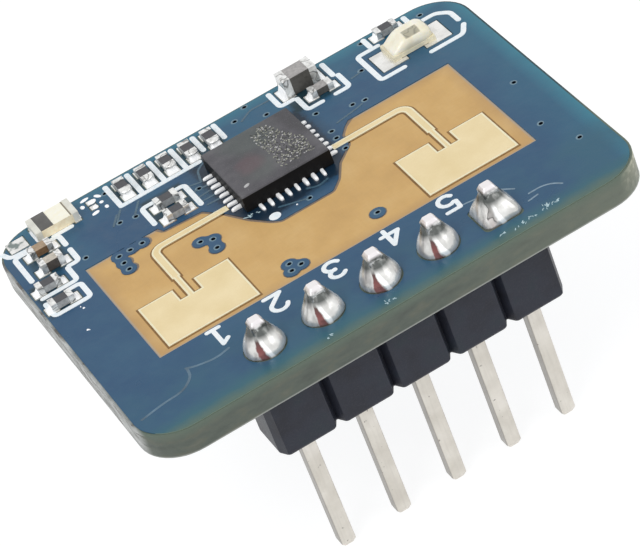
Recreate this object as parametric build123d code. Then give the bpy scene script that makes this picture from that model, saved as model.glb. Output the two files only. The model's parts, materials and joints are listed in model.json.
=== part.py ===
"""Microwave presence radar module: a small circuit board with two patch antennas,
a radar chip and a straight five-way pin header.

Millimetres. The origin is on the middle pin's axis, at the header housing's
underside. +X runs along the pin row, +Y from the pin row across the board,
and +Z points the way the antennas look.
"""
import os

from build123d import *

os.makedirs("parts", exist_ok=True)

# Circuit board
board_length = 21.8
board_width = 16.6
board_thickness = 1.2
board_corner_radius = 1.9
mask_thickness = 0.03
mask_edge_margin = 0.1
mask_opening_margin = 0.05
land_thickness = 0.035
print_thickness = 0.02
print_line_width = 0.23
print_gap = 0.32

# Pin header
pin_count = 5
pin_pitch = 2.54
pin_width = 0.64
pin_reach = 6.1
pin_tail = 1.4
pin_tip_length = 0.22
pin_tip_width = 0.4
pin_row_setback = 1.95
housing_height = 3.0
housing_width = 2.54
housing_groove_width = 0.44
housing_groove_depth = 0.42
housing_foot_chamfer = 0.14

# Soldered header joints
pin_hole_diameter = 1.0
joint_land_diameter = 1.64
joint_height = 1.12
joint_neck_diameter = 0.88
joint_belly_inset = 0.05
joint_flank_hollow = 0.04
joint_square_corner = 0.18

# Radar chip and the controller chip under the board
radar_chip_width = 4.0
radar_chip_height = 0.75
radar_chip_rear_inset = 4.77
controller_chip_width = 4.9
controller_chip_height = 0.8
lead_pitch = 0.4
lead_width = 0.22
lead_toe = 0.44
lead_fillet_height = 0.24
lead_toe_height = 0.03
leads_per_side = 8
chip_lift = 0.03
chip_edge_break = 0.05

# Patch antennas and the bare laminate window round them
patch_length = 4.02
patch_width = 3.0
label_gap_share = 0.421
antenna_spacing = 11.63
antenna_offset = -0.043
feed_width = 0.36
feed_bend_radius = 0.42
inset_feed_width = 0.25
inset_depth = 0.8
inset_slot_width = 0.35
feed_step_gap = 0.6
window_end_margin = 0.6
window_margin_front = 0.33
window_margin_rear = 1.13
via_ring_diameter = 0.66
via_neck_width = 0.56

# Small two-ended parts
small_length = 1.0
small_width = 0.5
resistor_height = 0.34
capacitor_height = 0.34
tall_capacitor_height = 0.47
end_length = 0.24
plating = 0.02
land_overhang = 0.25
land_side_margin = 0.03
bulk_length = 1.56
bulk_width = 0.88
bulk_height = 0.86
bulk_end_length = 0.34

# Ceramic chip antenna in the rear left corner
chip_antenna_length = 1.93
chip_antenna_width = 1.22
chip_antenna_height = 0.44
chip_antenna_end = 0.26
chip_antenna_mark_length = 0.56
chip_antenna_side_inset = 2.74
chip_antenna_rear_inset = 0.87

# Light sensor with a clear moulded lens
sensor_length = 2.0
sensor_width = 1.25
sensor_base_height = 0.22
sensor_end_length = 0.36
sensor_lens_length = 1.5
sensor_lens_height = 0.58
sensor_lens_taper = 14
sensor_lens_edge_radius = 0.16
sensor_side_inset = 3.01
sensor_rear_inset = 2.17
sensor_land_length = 1.2
sensor_land_width = 1.4
sensor_land_spacing = 2.06

# Places of the small parts on the antenna side
rear_resistor_count = 5
rear_resistor_pitch = 1.025
rear_resistor_first_x = -5.1
rear_resistor_inset = 1.18
match_part_offset_x = -4.1
match_part_pitch = 1.02
match_part_offset_y = 1.32
bulk_offset_x = 3.37
bulk_rear_inset = 0.9
bypass_offset_x = 3.83
bypass_rear_inset = 2.0
sensor_resistor_side_inset = 3.25
sensor_resistor_rear_inset = 0.6
side_capacitor_inset = 1.6
side_capacitor_rear_insets = (2.1, 3.37)
side_resistor_inset = 0.94
side_resistor_rear_insets = (4.5, 5.88)
corner_land_size = 0.8
corner_land_side_inset = 1.0
corner_land_rear_inset = 0.85
spare_land_size = 0.3
spare_land_x = -6.48
spare_land_rear_insets = (0.75, 1.17)

# Parts under the board
controller_x = -3.6
controller_rear_inset = 6.05
crystal_length = 2.5
crystal_width = 2.0
crystal_height = 0.6
crystal_base_height = 0.2
crystal_gap = 1.0
regulator_length = 2.9
regulator_width = 1.6
regulator_height = 1.05
regulator_x = 5.6
regulator_rear_inset = 5.05
regulator_lead_pitch = 0.95
regulator_lead_width = 0.4
regulator_lead_reach = 0.6
regulator_lead_thickness = 0.15
under_capacitor_pitch = 1.5
under_capacitor_count = 4
under_capacitor_gap = 1.2

# Heights of the faces that everything seats on
board_underside = housing_height + mask_thickness
mask_top = housing_height + board_thickness
board_top = mask_top - mask_thickness
land_top = board_top + land_thickness
land_underside = board_underside - land_thickness

# Plan positions
board_mid_y = board_width / 2 - pin_row_setback
rear_edge = board_width - pin_row_setback
left_edge = -board_length / 2
right_edge = board_length / 2
radar_chip_y = rear_edge - radar_chip_rear_inset
feed_y = radar_chip_y - 2.5 * lead_pitch
joint_rear = joint_land_diameter / 2
patch_front = joint_rear + label_gap_share * (feed_y - joint_rear - patch_width)
patch_rear = patch_front + patch_width
window_front = patch_front - window_margin_front
window_rear = feed_y + window_margin_rear
pin_xs = [(i - (pin_count - 1) / 2) * pin_pitch for i in range(pin_count)]
square_pin = pin_count - 1

STAND = (Align.CENTER, Align.CENTER, Align.MIN)
parts = {}


def block(length, width, height, x=0.0, y=0.0, z=0.0):
    """A box standing on the level z with its middle over x, y."""
    return Pos(x, y, z) * Box(length, width, height, align=STAND)


def joined(shapes):
    """All shapes fused into one."""
    first, *rest = shapes
    return first + rest if rest else first


def on_top(x, y, turn=0):
    """Where a part stands on the antenna side's lands."""
    return Pos(x, y, land_top) * Rot(0, 0, turn)


def under_board(x, y, turn=0):
    """Where a part hangs from the lands under the board."""
    return Pos(x, y, land_underside) * Rot(180, 0, 0) * Rot(0, 0, turn)


def two_ended_part(length, width, height, end):
    """Ceramic body and its two plated end cups, standing at the origin."""
    body = block(length - 2 * plating, width - 2 * plating, height - 2 * plating, z=plating)
    cups = []
    for side in (-1, 1):
        shell = block(end, width, height, side * (length - end) / 2)
        cups.append(shell - body)
    return body, cups


def two_lands(length, width, end, overhang=land_overhang):
    """Plan faces of the two lands that a two-ended part is soldered to."""
    land = end + overhang + land_side_margin
    middle = length / 2 + overhang - land / 2
    shape = Rectangle(land, width + 2 * land_side_margin)
    return [Pos(side * middle, 0) * shape for side in (-1, 1)]


def lead_fillet():
    """Soldered toe of one chip lead, from the chip's wall outwards along +X."""
    foot = mask_thickness - land_thickness
    profile = Polyline(
        (0, foot),
        (lead_toe, foot),
        (lead_toe, lead_toe_height),
        (lead_toe / 3, lead_fillet_height / 2),
        (0, lead_fillet_height),
        close=True,
    )
    wedge = extrude(Plane.XZ * make_face(profile), amount=lead_width / 2, both=True)
    return wedge


def flat_chip(side, height):
    """Leadless square chip: its body and the soldered toes on all four sides."""
    body = block(side, side, height - chip_lift, z=chip_lift)
    body = chamfer(body.faces().sort_by(Axis.Z)[-1].edges(), chip_edge_break)
    toe = lead_fillet()
    toes = []
    for turn in range(0, 360, 90):
        for i in range(leads_per_side):
            along = (i - (leads_per_side - 1) / 2) * lead_pitch
            toes.append(Rot(0, 0, turn) * Pos(side / 2, along, 0) * toe)
    return body, toes


def stroke(points, width=print_line_width):
    """A line of one width through the points, in plan."""
    return trace(Polyline(*points), width)


def board_outline(inset=0.0):
    """The board's rounded rectangle, drawn in by an inset."""
    outline = RectangleRounded(
        board_length - 2 * inset, board_width - 2 * inset, board_corner_radius - inset
    )
    return Pos(0, board_mid_y) * outline


def slab(face, z, thickness):
    """A plan face made solid from the level z upwards."""
    return extrude(Pos(0, 0, z) * face, amount=thickness)


def opened(face):
    """A land's plan face grown to the opening that the mask keeps round it."""
    return offset(face, mask_opening_margin, kind=Kind.INTERSECTION)


def place_face(face, x, y, turn=0):
    """A plan face moved to x, y."""
    return Pos(x, y) * Rot(0, 0, turn) * face


# Pin header: one moulded strip of square blocks with a V groove between each two
cell_outline = Polygon(
    *[
        (side_x * along, side_y * across)
        for side_x, side_y in ((1, 1), (-1, 1), (-1, -1), (1, -1))
        for along, across in (
            (pin_pitch / 2, housing_width / 2 - housing_groove_depth),
            ((pin_pitch - housing_groove_width) / 2, housing_width / 2),
        )[:: side_x * side_y]
    ]
)
cell = slab(cell_outline, 0, housing_height)
cell = chamfer(cell.faces().sort_by(Axis.Z)[0].edges(), housing_foot_chamfer)
cell -= block(pin_width, pin_width, housing_height)
parts["header_housing"] = joined([Pos(x, 0, 0) * cell for x in pin_xs])

pin_top = mask_top + pin_tail
straight = block(pin_width, pin_width, pin_top + pin_reach - 2 * pin_tip_length, z=pin_tip_length - pin_reach)
tip_faces = [
    Pos(0, 0, -pin_reach) * Rectangle(pin_tip_width, pin_tip_width),
    Pos(0, 0, pin_tip_length - pin_reach) * Rectangle(pin_width, pin_width),
]
tail_faces = [
    Pos(0, 0, pin_top - pin_tip_length) * Rectangle(pin_width, pin_width),
    Pos(0, 0, pin_top) * Rectangle(pin_tip_width, pin_tip_width),
]
pin = straight + loft(tip_faces) + loft(tail_faces)
for number, x in enumerate(pin_xs, start=1):
    parts[f"header_pin_{number}"] = Pos(x, 0, 0) * pin


def header_joint(square):
    """Solder that fills one pin's hole and climbs the pin in a hollow-sided cone."""
    hole_fill = Pos(0, 0, board_underside) * Cylinder(
        pin_hole_diameter / 2, board_top - board_underside, align=STAND
    )
    foot_radius = joint_land_diameter / 2
    neck_radius = joint_neck_diameter / 2
    belly_radius = foot_radius - joint_belly_inset
    waist_radius = (belly_radius + neck_radius) / 2 - joint_flank_hollow
    belly_height = joint_height / 4
    waist_height = joint_height * 2 / 3
    if square:
        foot = RectangleRounded(joint_land_diameter, joint_land_diameter, joint_square_corner)
        belly = RectangleRounded(2 * belly_radius, 2 * belly_radius, joint_square_corner)
        waist = RectangleRounded(2 * waist_radius, 2 * waist_radius, waist_radius * 2 / 3)
        neck = RectangleRounded(2 * neck_radius, 2 * neck_radius, neck_radius * 2 / 3)
        levels = [(foot, 0), (belly, belly_height), (waist, waist_height), (neck, joint_height)]
        faces = [Pos(0, 0, z) * face for face, z in levels]
        cone = joined([loft([low, high]) for low, high in zip(faces, faces[1:])])
    else:
        outline = Polyline(
            (0, 0),
            (foot_radius, 0),
            (belly_radius, belly_height),
            (waist_radius, waist_height),
            (neck_radius, joint_height),
            (0, joint_height),
            close=True,
        )
        cone = revolve(Plane.XZ * make_face(outline), Axis.Z)
    return hole_fill + Pos(0, 0, board_top) * cone - pin


for number, x in enumerate(pin_xs, start=1):
    parts[f"header_joint_{number}"] = Pos(x, 0, 0) * header_joint(number - 1 == square_pin)

# Small parts on the antenna side, each with the faces of its lands
land_faces = []
opening_faces = []


def add_lands(faces, x, y, turn=0):
    """Keep the lands of one part, placed on the board."""
    for face in faces:
        land_faces.append(place_face(face, x, y, turn))


def small_part(name, x, y, height, turn=0):
    """One small two-ended part on the antenna side; returns its end cups."""
    body, cups = two_ended_part(small_length, small_width, height, end_length)
    parts[name] = on_top(x, y, turn) * body
    add_lands(two_lands(small_length, small_width, end_length), x, y, turn)
    return [on_top(x, y, turn) * cup for cup in cups]


rear_resistor_y = rear_edge - rear_resistor_inset
rear_resistor_xs = [rear_resistor_first_x + i * rear_resistor_pitch for i in range(rear_resistor_count)]
cups = []
for number, x in enumerate(rear_resistor_xs, start=1):
    cups += small_part(f"rear_resistor_{number}", x, rear_resistor_y, resistor_height, 90)
parts["rear_resistor_ends"] = cups

side_capacitor_x = left_edge + side_capacitor_inset
side_resistor_x = left_edge + side_resistor_inset
cups = []
for number, inset in enumerate(side_capacitor_rear_insets, start=1):
    height = capacitor_height if number == 1 else tall_capacitor_height
    cups += small_part(f"side_capacitor_{number}", side_capacitor_x, rear_edge - inset, height)
for number, inset in enumerate(side_resistor_rear_insets, start=1):
    cups += small_part(f"side_resistor_{number}", side_resistor_x, rear_edge - inset, resistor_height)
parts["side_part_ends"] = cups

match_x = match_part_offset_x
match_ys = [radar_chip_y + match_part_offset_y - i * match_part_pitch for i in range(2)]
cups = []
for number, y in enumerate(match_ys, start=1):
    cups += small_part(f"match_resistor_{number}", match_x, y, resistor_height)
parts["match_resistor_ends"] = cups

bypass_y = rear_edge - bypass_rear_inset
parts["bypass_capacitor_ends"] = small_part("bypass_capacitor", bypass_offset_x, bypass_y, capacitor_height)
sensor_resistor_x = right_edge - sensor_resistor_side_inset
sensor_resistor_y = rear_edge - sensor_resistor_rear_inset
parts["sensor_resistor_ends"] = small_part(
    "sensor_resistor", sensor_resistor_x, sensor_resistor_y, resistor_height
)

bulk_y = rear_edge - bulk_rear_inset
body, cups = two_ended_part(bulk_length, bulk_width, bulk_height, bulk_end_length)
parts["bulk_capacitor"] = on_top(bulk_offset_x, bulk_y) * body
parts["bulk_capacitor_ends"] = [on_top(bulk_offset_x, bulk_y) * cup for cup in cups]
add_lands(two_lands(bulk_length, bulk_width, bulk_end_length), bulk_offset_x, bulk_y)

# Ceramic chip antenna, with the printed block beside its left end
chip_antenna_x = left_edge + chip_antenna_side_inset
chip_antenna_y = rear_edge - chip_antenna_rear_inset
body, cups = two_ended_part(chip_antenna_length, chip_antenna_width, chip_antenna_height, chip_antenna_end)
mark = block(
    chip_antenna_mark_length,
    chip_antenna_width - 2 * plating,
    plating,
    x=chip_antenna_end + (chip_antenna_mark_length - chip_antenna_length) / 2,
    z=chip_antenna_height - plating,
)
chip_antenna_place = on_top(chip_antenna_x, chip_antenna_y)
parts["chip_antenna"] = chip_antenna_place * body
parts["chip_antenna_ends"] = [chip_antenna_place * cup for cup in cups]
parts["chip_antenna_mark"] = chip_antenna_place * mark
add_lands(
    two_lands(chip_antenna_length, chip_antenna_width, chip_antenna_end, plating),
    chip_antenna_x,
    chip_antenna_y,
)

# Bare tinned lands
corner_land = Rectangle(corner_land_size, corner_land_size)
add_lands([corner_land], left_edge + corner_land_side_inset, rear_edge - corner_land_rear_inset)
for inset in spare_land_rear_insets:
    add_lands([Rectangle(spare_land_size, spare_land_size)], spare_land_x, rear_edge - inset)

# Light sensor: plated base with a tapered clear lens
sensor_x = right_edge - sensor_side_inset
sensor_y = rear_edge - sensor_rear_inset
body, cups = two_ended_part(sensor_length, sensor_width, sensor_base_height, sensor_end_length)
lens_foot = Rectangle(sensor_lens_length, sensor_width - 2 * plating)
lens = extrude(lens_foot, amount=sensor_lens_height, taper=sensor_lens_taper)
lens = fillet(lens.faces().sort_by(Axis.Z)[-1].edges(), sensor_lens_edge_radius)
sensor_place = on_top(sensor_x, sensor_y)
lens_seat = Pos(0, 0, sensor_base_height - plating)
parts["light_sensor_base"] = sensor_place * body
parts["light_sensor_lens"] = sensor_place * (lens_seat * lens - joined(cups))
parts["light_sensor_ends"] = [sensor_place * cup for cup in cups]
sensor_land_y = sensor_y - (sensor_land_width - sensor_width)
sensor_land = Rectangle(sensor_land_length, sensor_land_width)
sensor_lands = [Pos(side * sensor_land_spacing / 2, 0) * sensor_land for side in (-1, 1)]
add_lands(sensor_lands, sensor_x, sensor_land_y)

# Radar chip
body, toes = flat_chip(radar_chip_width, radar_chip_height)
parts["radar_chip"] = on_top(0, radar_chip_y) * body
parts["radar_chip_leads"] = [on_top(0, radar_chip_y) * toe for toe in toes]

# Openings round the header joints, which are round but for the square one at the last pin
pin_hole = Circle(pin_hole_diameter / 2)
for i, x in enumerate(pin_xs):
    if i == square_pin:
        ring = RectangleRounded(joint_land_diameter, joint_land_diameter, joint_square_corner)
    else:
        ring = Circle(joint_land_diameter / 2)
    opening_faces.append(Pos(x, 0) * opened(ring))
lands = joined([slab(face, board_top, land_thickness) for face in land_faces])
parts["lands_top"] = lands

# Patch antennas: an inset-fed patch on each side, its feed running to the chip
def antenna(side):
    """Plan face of one patch with its feed; side is -1 on the left, 1 on the right."""
    patch_x = antenna_offset + side * antenna_spacing / 2
    lead_x = side * (radar_chip_width / 2 + lead_toe)
    patch = Pos(patch_x, patch_front + patch_width / 2) * Rectangle(patch_length, patch_width)
    for slot_side in (-1, 1):
        slot_x = patch_x + slot_side * (inset_feed_width + inset_slot_width) / 2
        slot = Rectangle(inset_slot_width, inset_depth)
        patch -= Pos(slot_x, patch_rear - inset_depth / 2) * slot
    inset_feed = Pos(patch_x, patch_rear + feed_step_gap / 2) * Rectangle(inset_feed_width, feed_step_gap)
    route = FilletPolyline(
        (patch_x, patch_rear + feed_step_gap),
        (patch_x, feed_y),
        (lead_x, feed_y),
        radius=feed_bend_radius,
    )
    return patch + inset_feed + trace(route, feed_width)


antennas = {"left": antenna(-1), "right": antenna(1)}
for name, face in antennas.items():
    parts[f"patch_antenna_{name}"] = slab(face, board_top, land_thickness)

# Window of bare laminate, with a tongue of mask round the chip and round the vias
window_length = antenna_spacing + patch_length + 2 * window_end_margin
window_width = window_rear - window_front
window = Pos(0, (window_front + window_rear) / 2) * Rectangle(window_length, window_width)
chip_half = radar_chip_width / 2
tongue_line = Polyline(
    (match_x - small_length - 0.1, window_rear + 0.2),
    (match_x - small_length + 0.1, match_ys[-1] - small_width),
    (match_x + small_length - 0.2, match_ys[-1] - small_width - 0.15),
    (-chip_half - 0.7, radar_chip_y - 1.2),
    (-chip_half - 0.1, radar_chip_y - 2.4),
    (-chip_half + 0.5, radar_chip_y - 3.25),
    (-chip_half + 0.8, radar_chip_y - 3.5),
    (chip_half - 0.85, radar_chip_y - 3.5),
    (chip_half - 0.35, radar_chip_y - 3.0),
    (chip_half + 0.15, radar_chip_y - 2.1),
    (chip_half + 1.0, radar_chip_y - 1.3),
    (chip_half + 1.05, radar_chip_y - 0.6),
    (chip_half + 1.4, radar_chip_y - 0.15),
    (chip_half + 1.9, window_rear + 0.2),
    close=True,
)
tongue = make_face(tongue_line)
tongue = fillet(tongue.vertices().sort_by(Axis.Y)[:10], 0.12)
via_middles = {
    "rear row": (antenna_offset - antenna_spacing / 2, window_rear - via_ring_diameter / 2),
    "beside the chip": (-2 * chip_half, radar_chip_y - chip_half),
    "left of the middle": (-chip_half, patch_front + via_ring_diameter),
    "right of the middle": (chip_half, patch_front + via_ring_diameter),
}
via_groups = {
    "rear row": [(-0.12, 0.01), (-0.66, 0.01), (-1.19, -0.01), (-1.2, -0.56), (-1.2, -1.08)],
    "beside the chip": [(-0.21, -0.08), (0.25, -0.33), (0.14, -0.95)],
    "left of the middle": [(-0.21, 0.05), (0.14, -0.32), (-0.32, -0.4)],
    "right of the middle": [(-0.22, 0.09)],
}
islands = []
for group, (middle_x, middle_y) in via_middles.items():
    places = [(middle_x + x, middle_y + y) for x, y in via_groups[group]]
    rings = [Pos(x, y) * Circle(via_ring_diameter / 2) for x, y in places]
    rings += [stroke(pair, via_neck_width) for pair in zip(places, places[1:])]
    islands.append(joined(rings))
window = window - tongue - joined(islands)

mask = board_outline(mask_edge_margin) - window
for face in opening_faces:
    mask -= face
for face in land_faces:
    mask -= opened(face)
for face in antennas.values():
    mask -= face
parts["solder_mask_top"] = slab(mask, board_top, mask_thickness)

# Laminate and the mask under it
drilled = board_outline()
for x in pin_xs:
    drilled -= Pos(x, 0) * pin_hole
parts["circuit_board"] = slab(drilled, board_underside, board_top - board_underside)

# Printed outlines round the parts, each drawn from its part's middle
def marks(x, y, lines, width=print_line_width):
    """Printed strokes placed about x, y."""
    return [Pos(x, y) * stroke(line, width) for line in lines]


print_front = rear_resistor_y - 0.9
print_rear = rear_edge - 0.3
divider_xs = [rear_resistor_first_x + (i - 0.5) * rear_resistor_pitch for i in range(rear_resistor_count + 1)]
prints = [stroke([(divider_xs[0], print_front), (divider_xs[-2] - 0.45, print_front)])]
for i, x in enumerate(divider_xs):
    front = print_front if i < 2 else print_front + 0.62
    prints.append(stroke([(x, front), (x, print_rear)]))
prints += marks(
    match_x,
    match_ys[0],
    [
        [(-0.98, -0.85), (-0.98, 0.5), (-0.38, 0.5)],
        [(0.5, 0.5), (0.98, 0.5), (0.98, -1.25)],
    ],
)
prints += marks(
    bulk_offset_x,
    bulk_y,
    [
        [(-0.65, -0.62), (-1.26, -0.62), (-1.26, 0.55)],
        [(1.3, -0.5), (1.3, 0.55)],
    ],
)
prints += marks(
    bypass_offset_x,
    bypass_y,
    [
        [(-0.3, -0.65), (-0.98, -0.65), (-0.98, 0.4)],
        [(0.35, -0.65), (1.0, -0.65), (1.0, 0.45)],
    ],
)
sensor_ends = (sensor_land_spacing + sensor_land_length) / 2
print_left = -sensor_ends - print_gap
print_right = sensor_ends + 2 * print_gap
print_back = sensor_land_width / 2 + print_gap
print_fore = -sensor_land_width / 2 - 1.65 * print_gap
corner = 1.5 * print_gap
prints += marks(
    sensor_x,
    sensor_y,
    [
        [(-0.85, print_fore), (print_left, print_fore), (print_left, print_back), (-0.95, print_back)],
        [
            (1.15, print_back),
            (print_right - corner, print_back),
            (print_right, print_back - corner),
            (print_right, -0.2),
        ],
        [
            (print_right, print_fore + 1.2 * corner),
            (print_right - corner, print_fore),
            (0.45, print_fore),
        ],
    ],
)
prints += marks(
    sensor_resistor_x,
    sensor_resistor_y,
    [[(side * 0.97, -0.35), (side * 0.97, 0.3)] for side in (-1, 1)],
)
prints += marks(
    side_capacitor_x,
    rear_edge - side_capacitor_rear_insets[0],
    [
        [(-0.5, 0.45), (-1.06, 0.45), (-1.06, -0.6)],
        [(0.65, 0.4), (0.95, 0.4), (0.95, -0.4)],
    ],
)
prints += marks(
    side_capacitor_x,
    rear_edge - side_capacitor_rear_insets[1],
    [
        [(-1.06, 0.6), (-1.06, -0.2)],
        [(0.95, 0.45), (0.95, -0.5), (0.5, -0.5)],
    ],
)
prints += marks(
    side_resistor_x,
    rear_edge - side_resistor_rear_insets[0],
    [[(-0.5, -0.46), (1.06, -0.46), (1.06, 0.55)]],
)
prints += marks(
    side_resistor_x,
    rear_edge - side_resistor_rear_insets[1],
    [
        [(0.5, 0.62), (1.06, 0.62), (1.06, -0.48), (-0.55, -0.48), (-0.55, 0.5)],
    ],
)
dot_y = radar_chip_y - chip_half - lead_toe - 2 * print_gap
chip_dot = Pos(lead_pitch - chip_half + print_gap, dot_y) * Circle(print_gap * 0.75)
printed = joined(prints + [chip_dot])
for face in land_faces:
    printed -= opened(face)
for face in opening_faces:
    printed -= face
parts["board_print"] = slab(printed & board_outline(mask_edge_margin), mask_top, print_thickness)

# Under the board: controller chip, crystal, regulator and a row of small capacitors
under_lands = []
under_y = rear_edge - controller_rear_inset
body, toes = flat_chip(controller_chip_width, controller_chip_height)
controller_place = under_board(controller_x, under_y)
parts["controller_chip"] = controller_place * body
parts["controller_chip_leads"] = [controller_place * toe for toe in toes]

crystal_x = controller_x + controller_chip_width / 2 + lead_toe + crystal_gap + crystal_length / 2
crystal_place = under_board(crystal_x, under_y)
crystal_base = block(crystal_length, crystal_width, crystal_base_height)
crystal_can = block(
    crystal_length - 0.3, crystal_width - 0.3, crystal_height - crystal_base_height, z=crystal_base_height
)
crystal_can = fillet(crystal_can.edges().filter_by(Axis.Z), 0.2)
parts["crystal_base"] = crystal_place * crystal_base
parts["crystal_can"] = crystal_place * crystal_can
crystal_land = Rectangle(crystal_length / 3, crystal_width / 3)
for side_x in (-1, 1):
    for side_y in (-1, 1):
        spot = Pos(side_x * crystal_length / 3, side_y * crystal_width / 3) * crystal_land
        under_lands.append(place_face(spot, crystal_x, under_y))

regulator_y = rear_edge - regulator_rear_inset
regulator_place = under_board(regulator_x, regulator_y)
regulator_body = block(
    regulator_length, regulator_width, regulator_height - regulator_lead_thickness, z=regulator_lead_thickness
)
regulator_body = chamfer(regulator_body.faces().sort_by(Axis.Z)[-1].edges(), 0.15)
lead_rise = regulator_height / 2
lead_line = Polyline(
    (0, lead_rise),
    (regulator_lead_reach / 3, lead_rise),
    (regulator_lead_reach / 2, regulator_lead_thickness / 2),
    (regulator_lead_reach, regulator_lead_thickness / 2),
)
lead_side = trace(lead_line, regulator_lead_thickness)
lead_foot = Rectangle(2 * regulator_lead_reach, regulator_lead_reach, align=(Align.MIN, Align.MIN))
lead_side = lead_side - Pos(-regulator_lead_reach / 2, -regulator_lead_reach) * lead_foot
lead = extrude(Plane.XZ * lead_side, amount=regulator_lead_width / 2, both=True)
lead_land = Rectangle(regulator_lead_reach, regulator_lead_width + 2 * mask_opening_margin)
leads = []
for turn, places in ((90, (-1, 1)), (-90, (-1, 0, 1))):
    for i in places:
        across = regulator_width / 2 if turn > 0 else -regulator_width / 2
        foot = Pos(i * regulator_lead_pitch, across) * Rot(0, 0, turn)
        leads.append(regulator_place * foot * lead)
        spot = Pos(i * regulator_lead_pitch, -across) * Rot(0, 0, turn) * lead_land
        reach = regulator_lead_reach * 3 / 4 if across < 0 else -regulator_lead_reach * 3 / 4
        under_lands.append(place_face(Pos(0, reach) * spot, regulator_x, regulator_y))
parts["regulator"] = regulator_place * regulator_body
parts["regulator_leads"] = leads

cups = []
under_capacitor_y = under_y - controller_chip_width / 2 - lead_toe - under_capacitor_gap
for i in range(under_capacitor_count):
    x = controller_x + (i - (under_capacitor_count - 1) / 2) * under_capacitor_pitch
    body, ends = two_ended_part(small_length, small_width, capacitor_height, end_length)
    place = under_board(x, under_capacitor_y)
    parts[f"under_capacitor_{i + 1}"] = place * body
    cups += [place * end for end in ends]
    for face in two_lands(small_length, small_width, end_length):
        under_lands.append(place_face(face, x, under_capacitor_y))
parts["under_capacitor_ends"] = cups

lands = joined([slab(face, land_underside, land_thickness) for face in under_lands])
parts["lands_under"] = lands
mask = board_outline(mask_edge_margin)
for face in under_lands:
    mask -= opened(face)
for x in pin_xs:
    mask -= Pos(x, 0) * pin_hole
parts["solder_mask_under"] = slab(mask, housing_height, mask_thickness)

for name, shape in parts.items():
    solid = Compound(children=shape) if isinstance(shape, list) else shape
    solid.label = name
    export_step(solid, f"parts/{name}.step")
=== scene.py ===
import json
import random
from math import atan2, cos, hypot, pi, radians, sin, tau

import bpy
from mathutils import Matrix, Vector


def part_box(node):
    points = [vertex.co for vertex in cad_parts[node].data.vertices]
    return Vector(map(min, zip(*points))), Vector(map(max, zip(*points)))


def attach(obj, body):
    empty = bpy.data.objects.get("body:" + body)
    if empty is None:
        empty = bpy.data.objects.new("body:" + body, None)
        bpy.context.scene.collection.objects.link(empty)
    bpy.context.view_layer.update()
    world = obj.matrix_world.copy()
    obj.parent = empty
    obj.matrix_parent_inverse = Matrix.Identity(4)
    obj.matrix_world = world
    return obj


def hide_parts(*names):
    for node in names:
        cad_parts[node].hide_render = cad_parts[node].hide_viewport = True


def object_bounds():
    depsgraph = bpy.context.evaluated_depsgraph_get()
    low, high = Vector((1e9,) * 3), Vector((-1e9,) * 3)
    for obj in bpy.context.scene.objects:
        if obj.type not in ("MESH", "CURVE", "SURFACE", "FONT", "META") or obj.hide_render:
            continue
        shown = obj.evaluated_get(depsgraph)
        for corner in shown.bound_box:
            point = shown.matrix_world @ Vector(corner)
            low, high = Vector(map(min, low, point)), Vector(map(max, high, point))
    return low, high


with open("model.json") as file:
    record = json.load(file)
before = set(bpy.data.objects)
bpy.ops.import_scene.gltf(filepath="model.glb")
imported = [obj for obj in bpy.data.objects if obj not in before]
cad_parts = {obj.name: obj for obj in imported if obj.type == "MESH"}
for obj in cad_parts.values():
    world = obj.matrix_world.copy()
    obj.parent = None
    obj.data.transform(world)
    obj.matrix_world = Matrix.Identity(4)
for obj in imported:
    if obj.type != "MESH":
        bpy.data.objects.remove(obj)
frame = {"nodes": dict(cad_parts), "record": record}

MM = 0.001
nodes = frame["nodes"]
cad_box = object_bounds()
chance = random.Random(7)


# Heights and places of the modelled parts, in millimetres
def box_mm(node):
    """The lowest and the highest corner of a modelled part."""
    return [[round(value / MM, 3) for value in corner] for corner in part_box(node)]


def middle_of(node):
    """Where a modelled part stands, seen from above."""
    (left, front, _), (right, rear, _) = box_mm(node)
    return (left + right) / 2, (front + rear) / 2


BOARD_RIGHT, BOARD_REAR, BOARD_TOP = box_mm("circuit_board")[1]
MASK_TOP = box_mm("solder_mask_top")[1][2]
BOARD_MIDDLE = (box_mm("solder_mask_under")[0][2] + MASK_TOP) / 2
LAND_TOP = box_mm("lands_top")[1][2]
CHIP_HALF, _, CHIP_TOP = box_mm("radar_chip")[1]
CHIP_Y = middle_of("radar_chip")[1]
PINS = [middle_of(f"header_pin_{i}")[0] for i in range(1, 6)]
REAR_RESISTORS = [middle_of(f"rear_resistor_{i}") for i in range(1, 6)]
SMALL_PARTS = [
    middle_of(node)
    for node in (
        "side_capacitor_1", "side_capacitor_2", "side_resistor_1", "side_resistor_2",
        "match_resistor_1", "match_resistor_2", "bypass_capacitor", "sensor_resistor",
    )
]

# The opening in the mask round the antennas
WINDOW_HALF_LENGTH, WINDOW_HALF_WIDTH, WINDOW_Y = 8.42, 3.69, 6.31


# Node trees
def fill(node, inputs):
    """Wire or set inputs, given by name or number; a colour may leave out its alpha."""
    for key, value in inputs.items():
        socket = node.inputs[key]
        if isinstance(value, bpy.types.NodeSocket):
            node.id_data.links.new(value, socket)
        elif value is not None:
            if hasattr(value, "__len__") and len(value) == 3 and len(socket.default_value) == 4:
                value = (*value, 1)
            socket.default_value = value


def add_node(tree, kind, inputs=None, **settings):
    """A new node with its settings and inputs; gives back its outputs."""
    node = tree.nodes.new(kind)
    for name, value in settings.items():
        setattr(node, name, value)
    fill(node, inputs or {})
    return node.outputs


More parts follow.
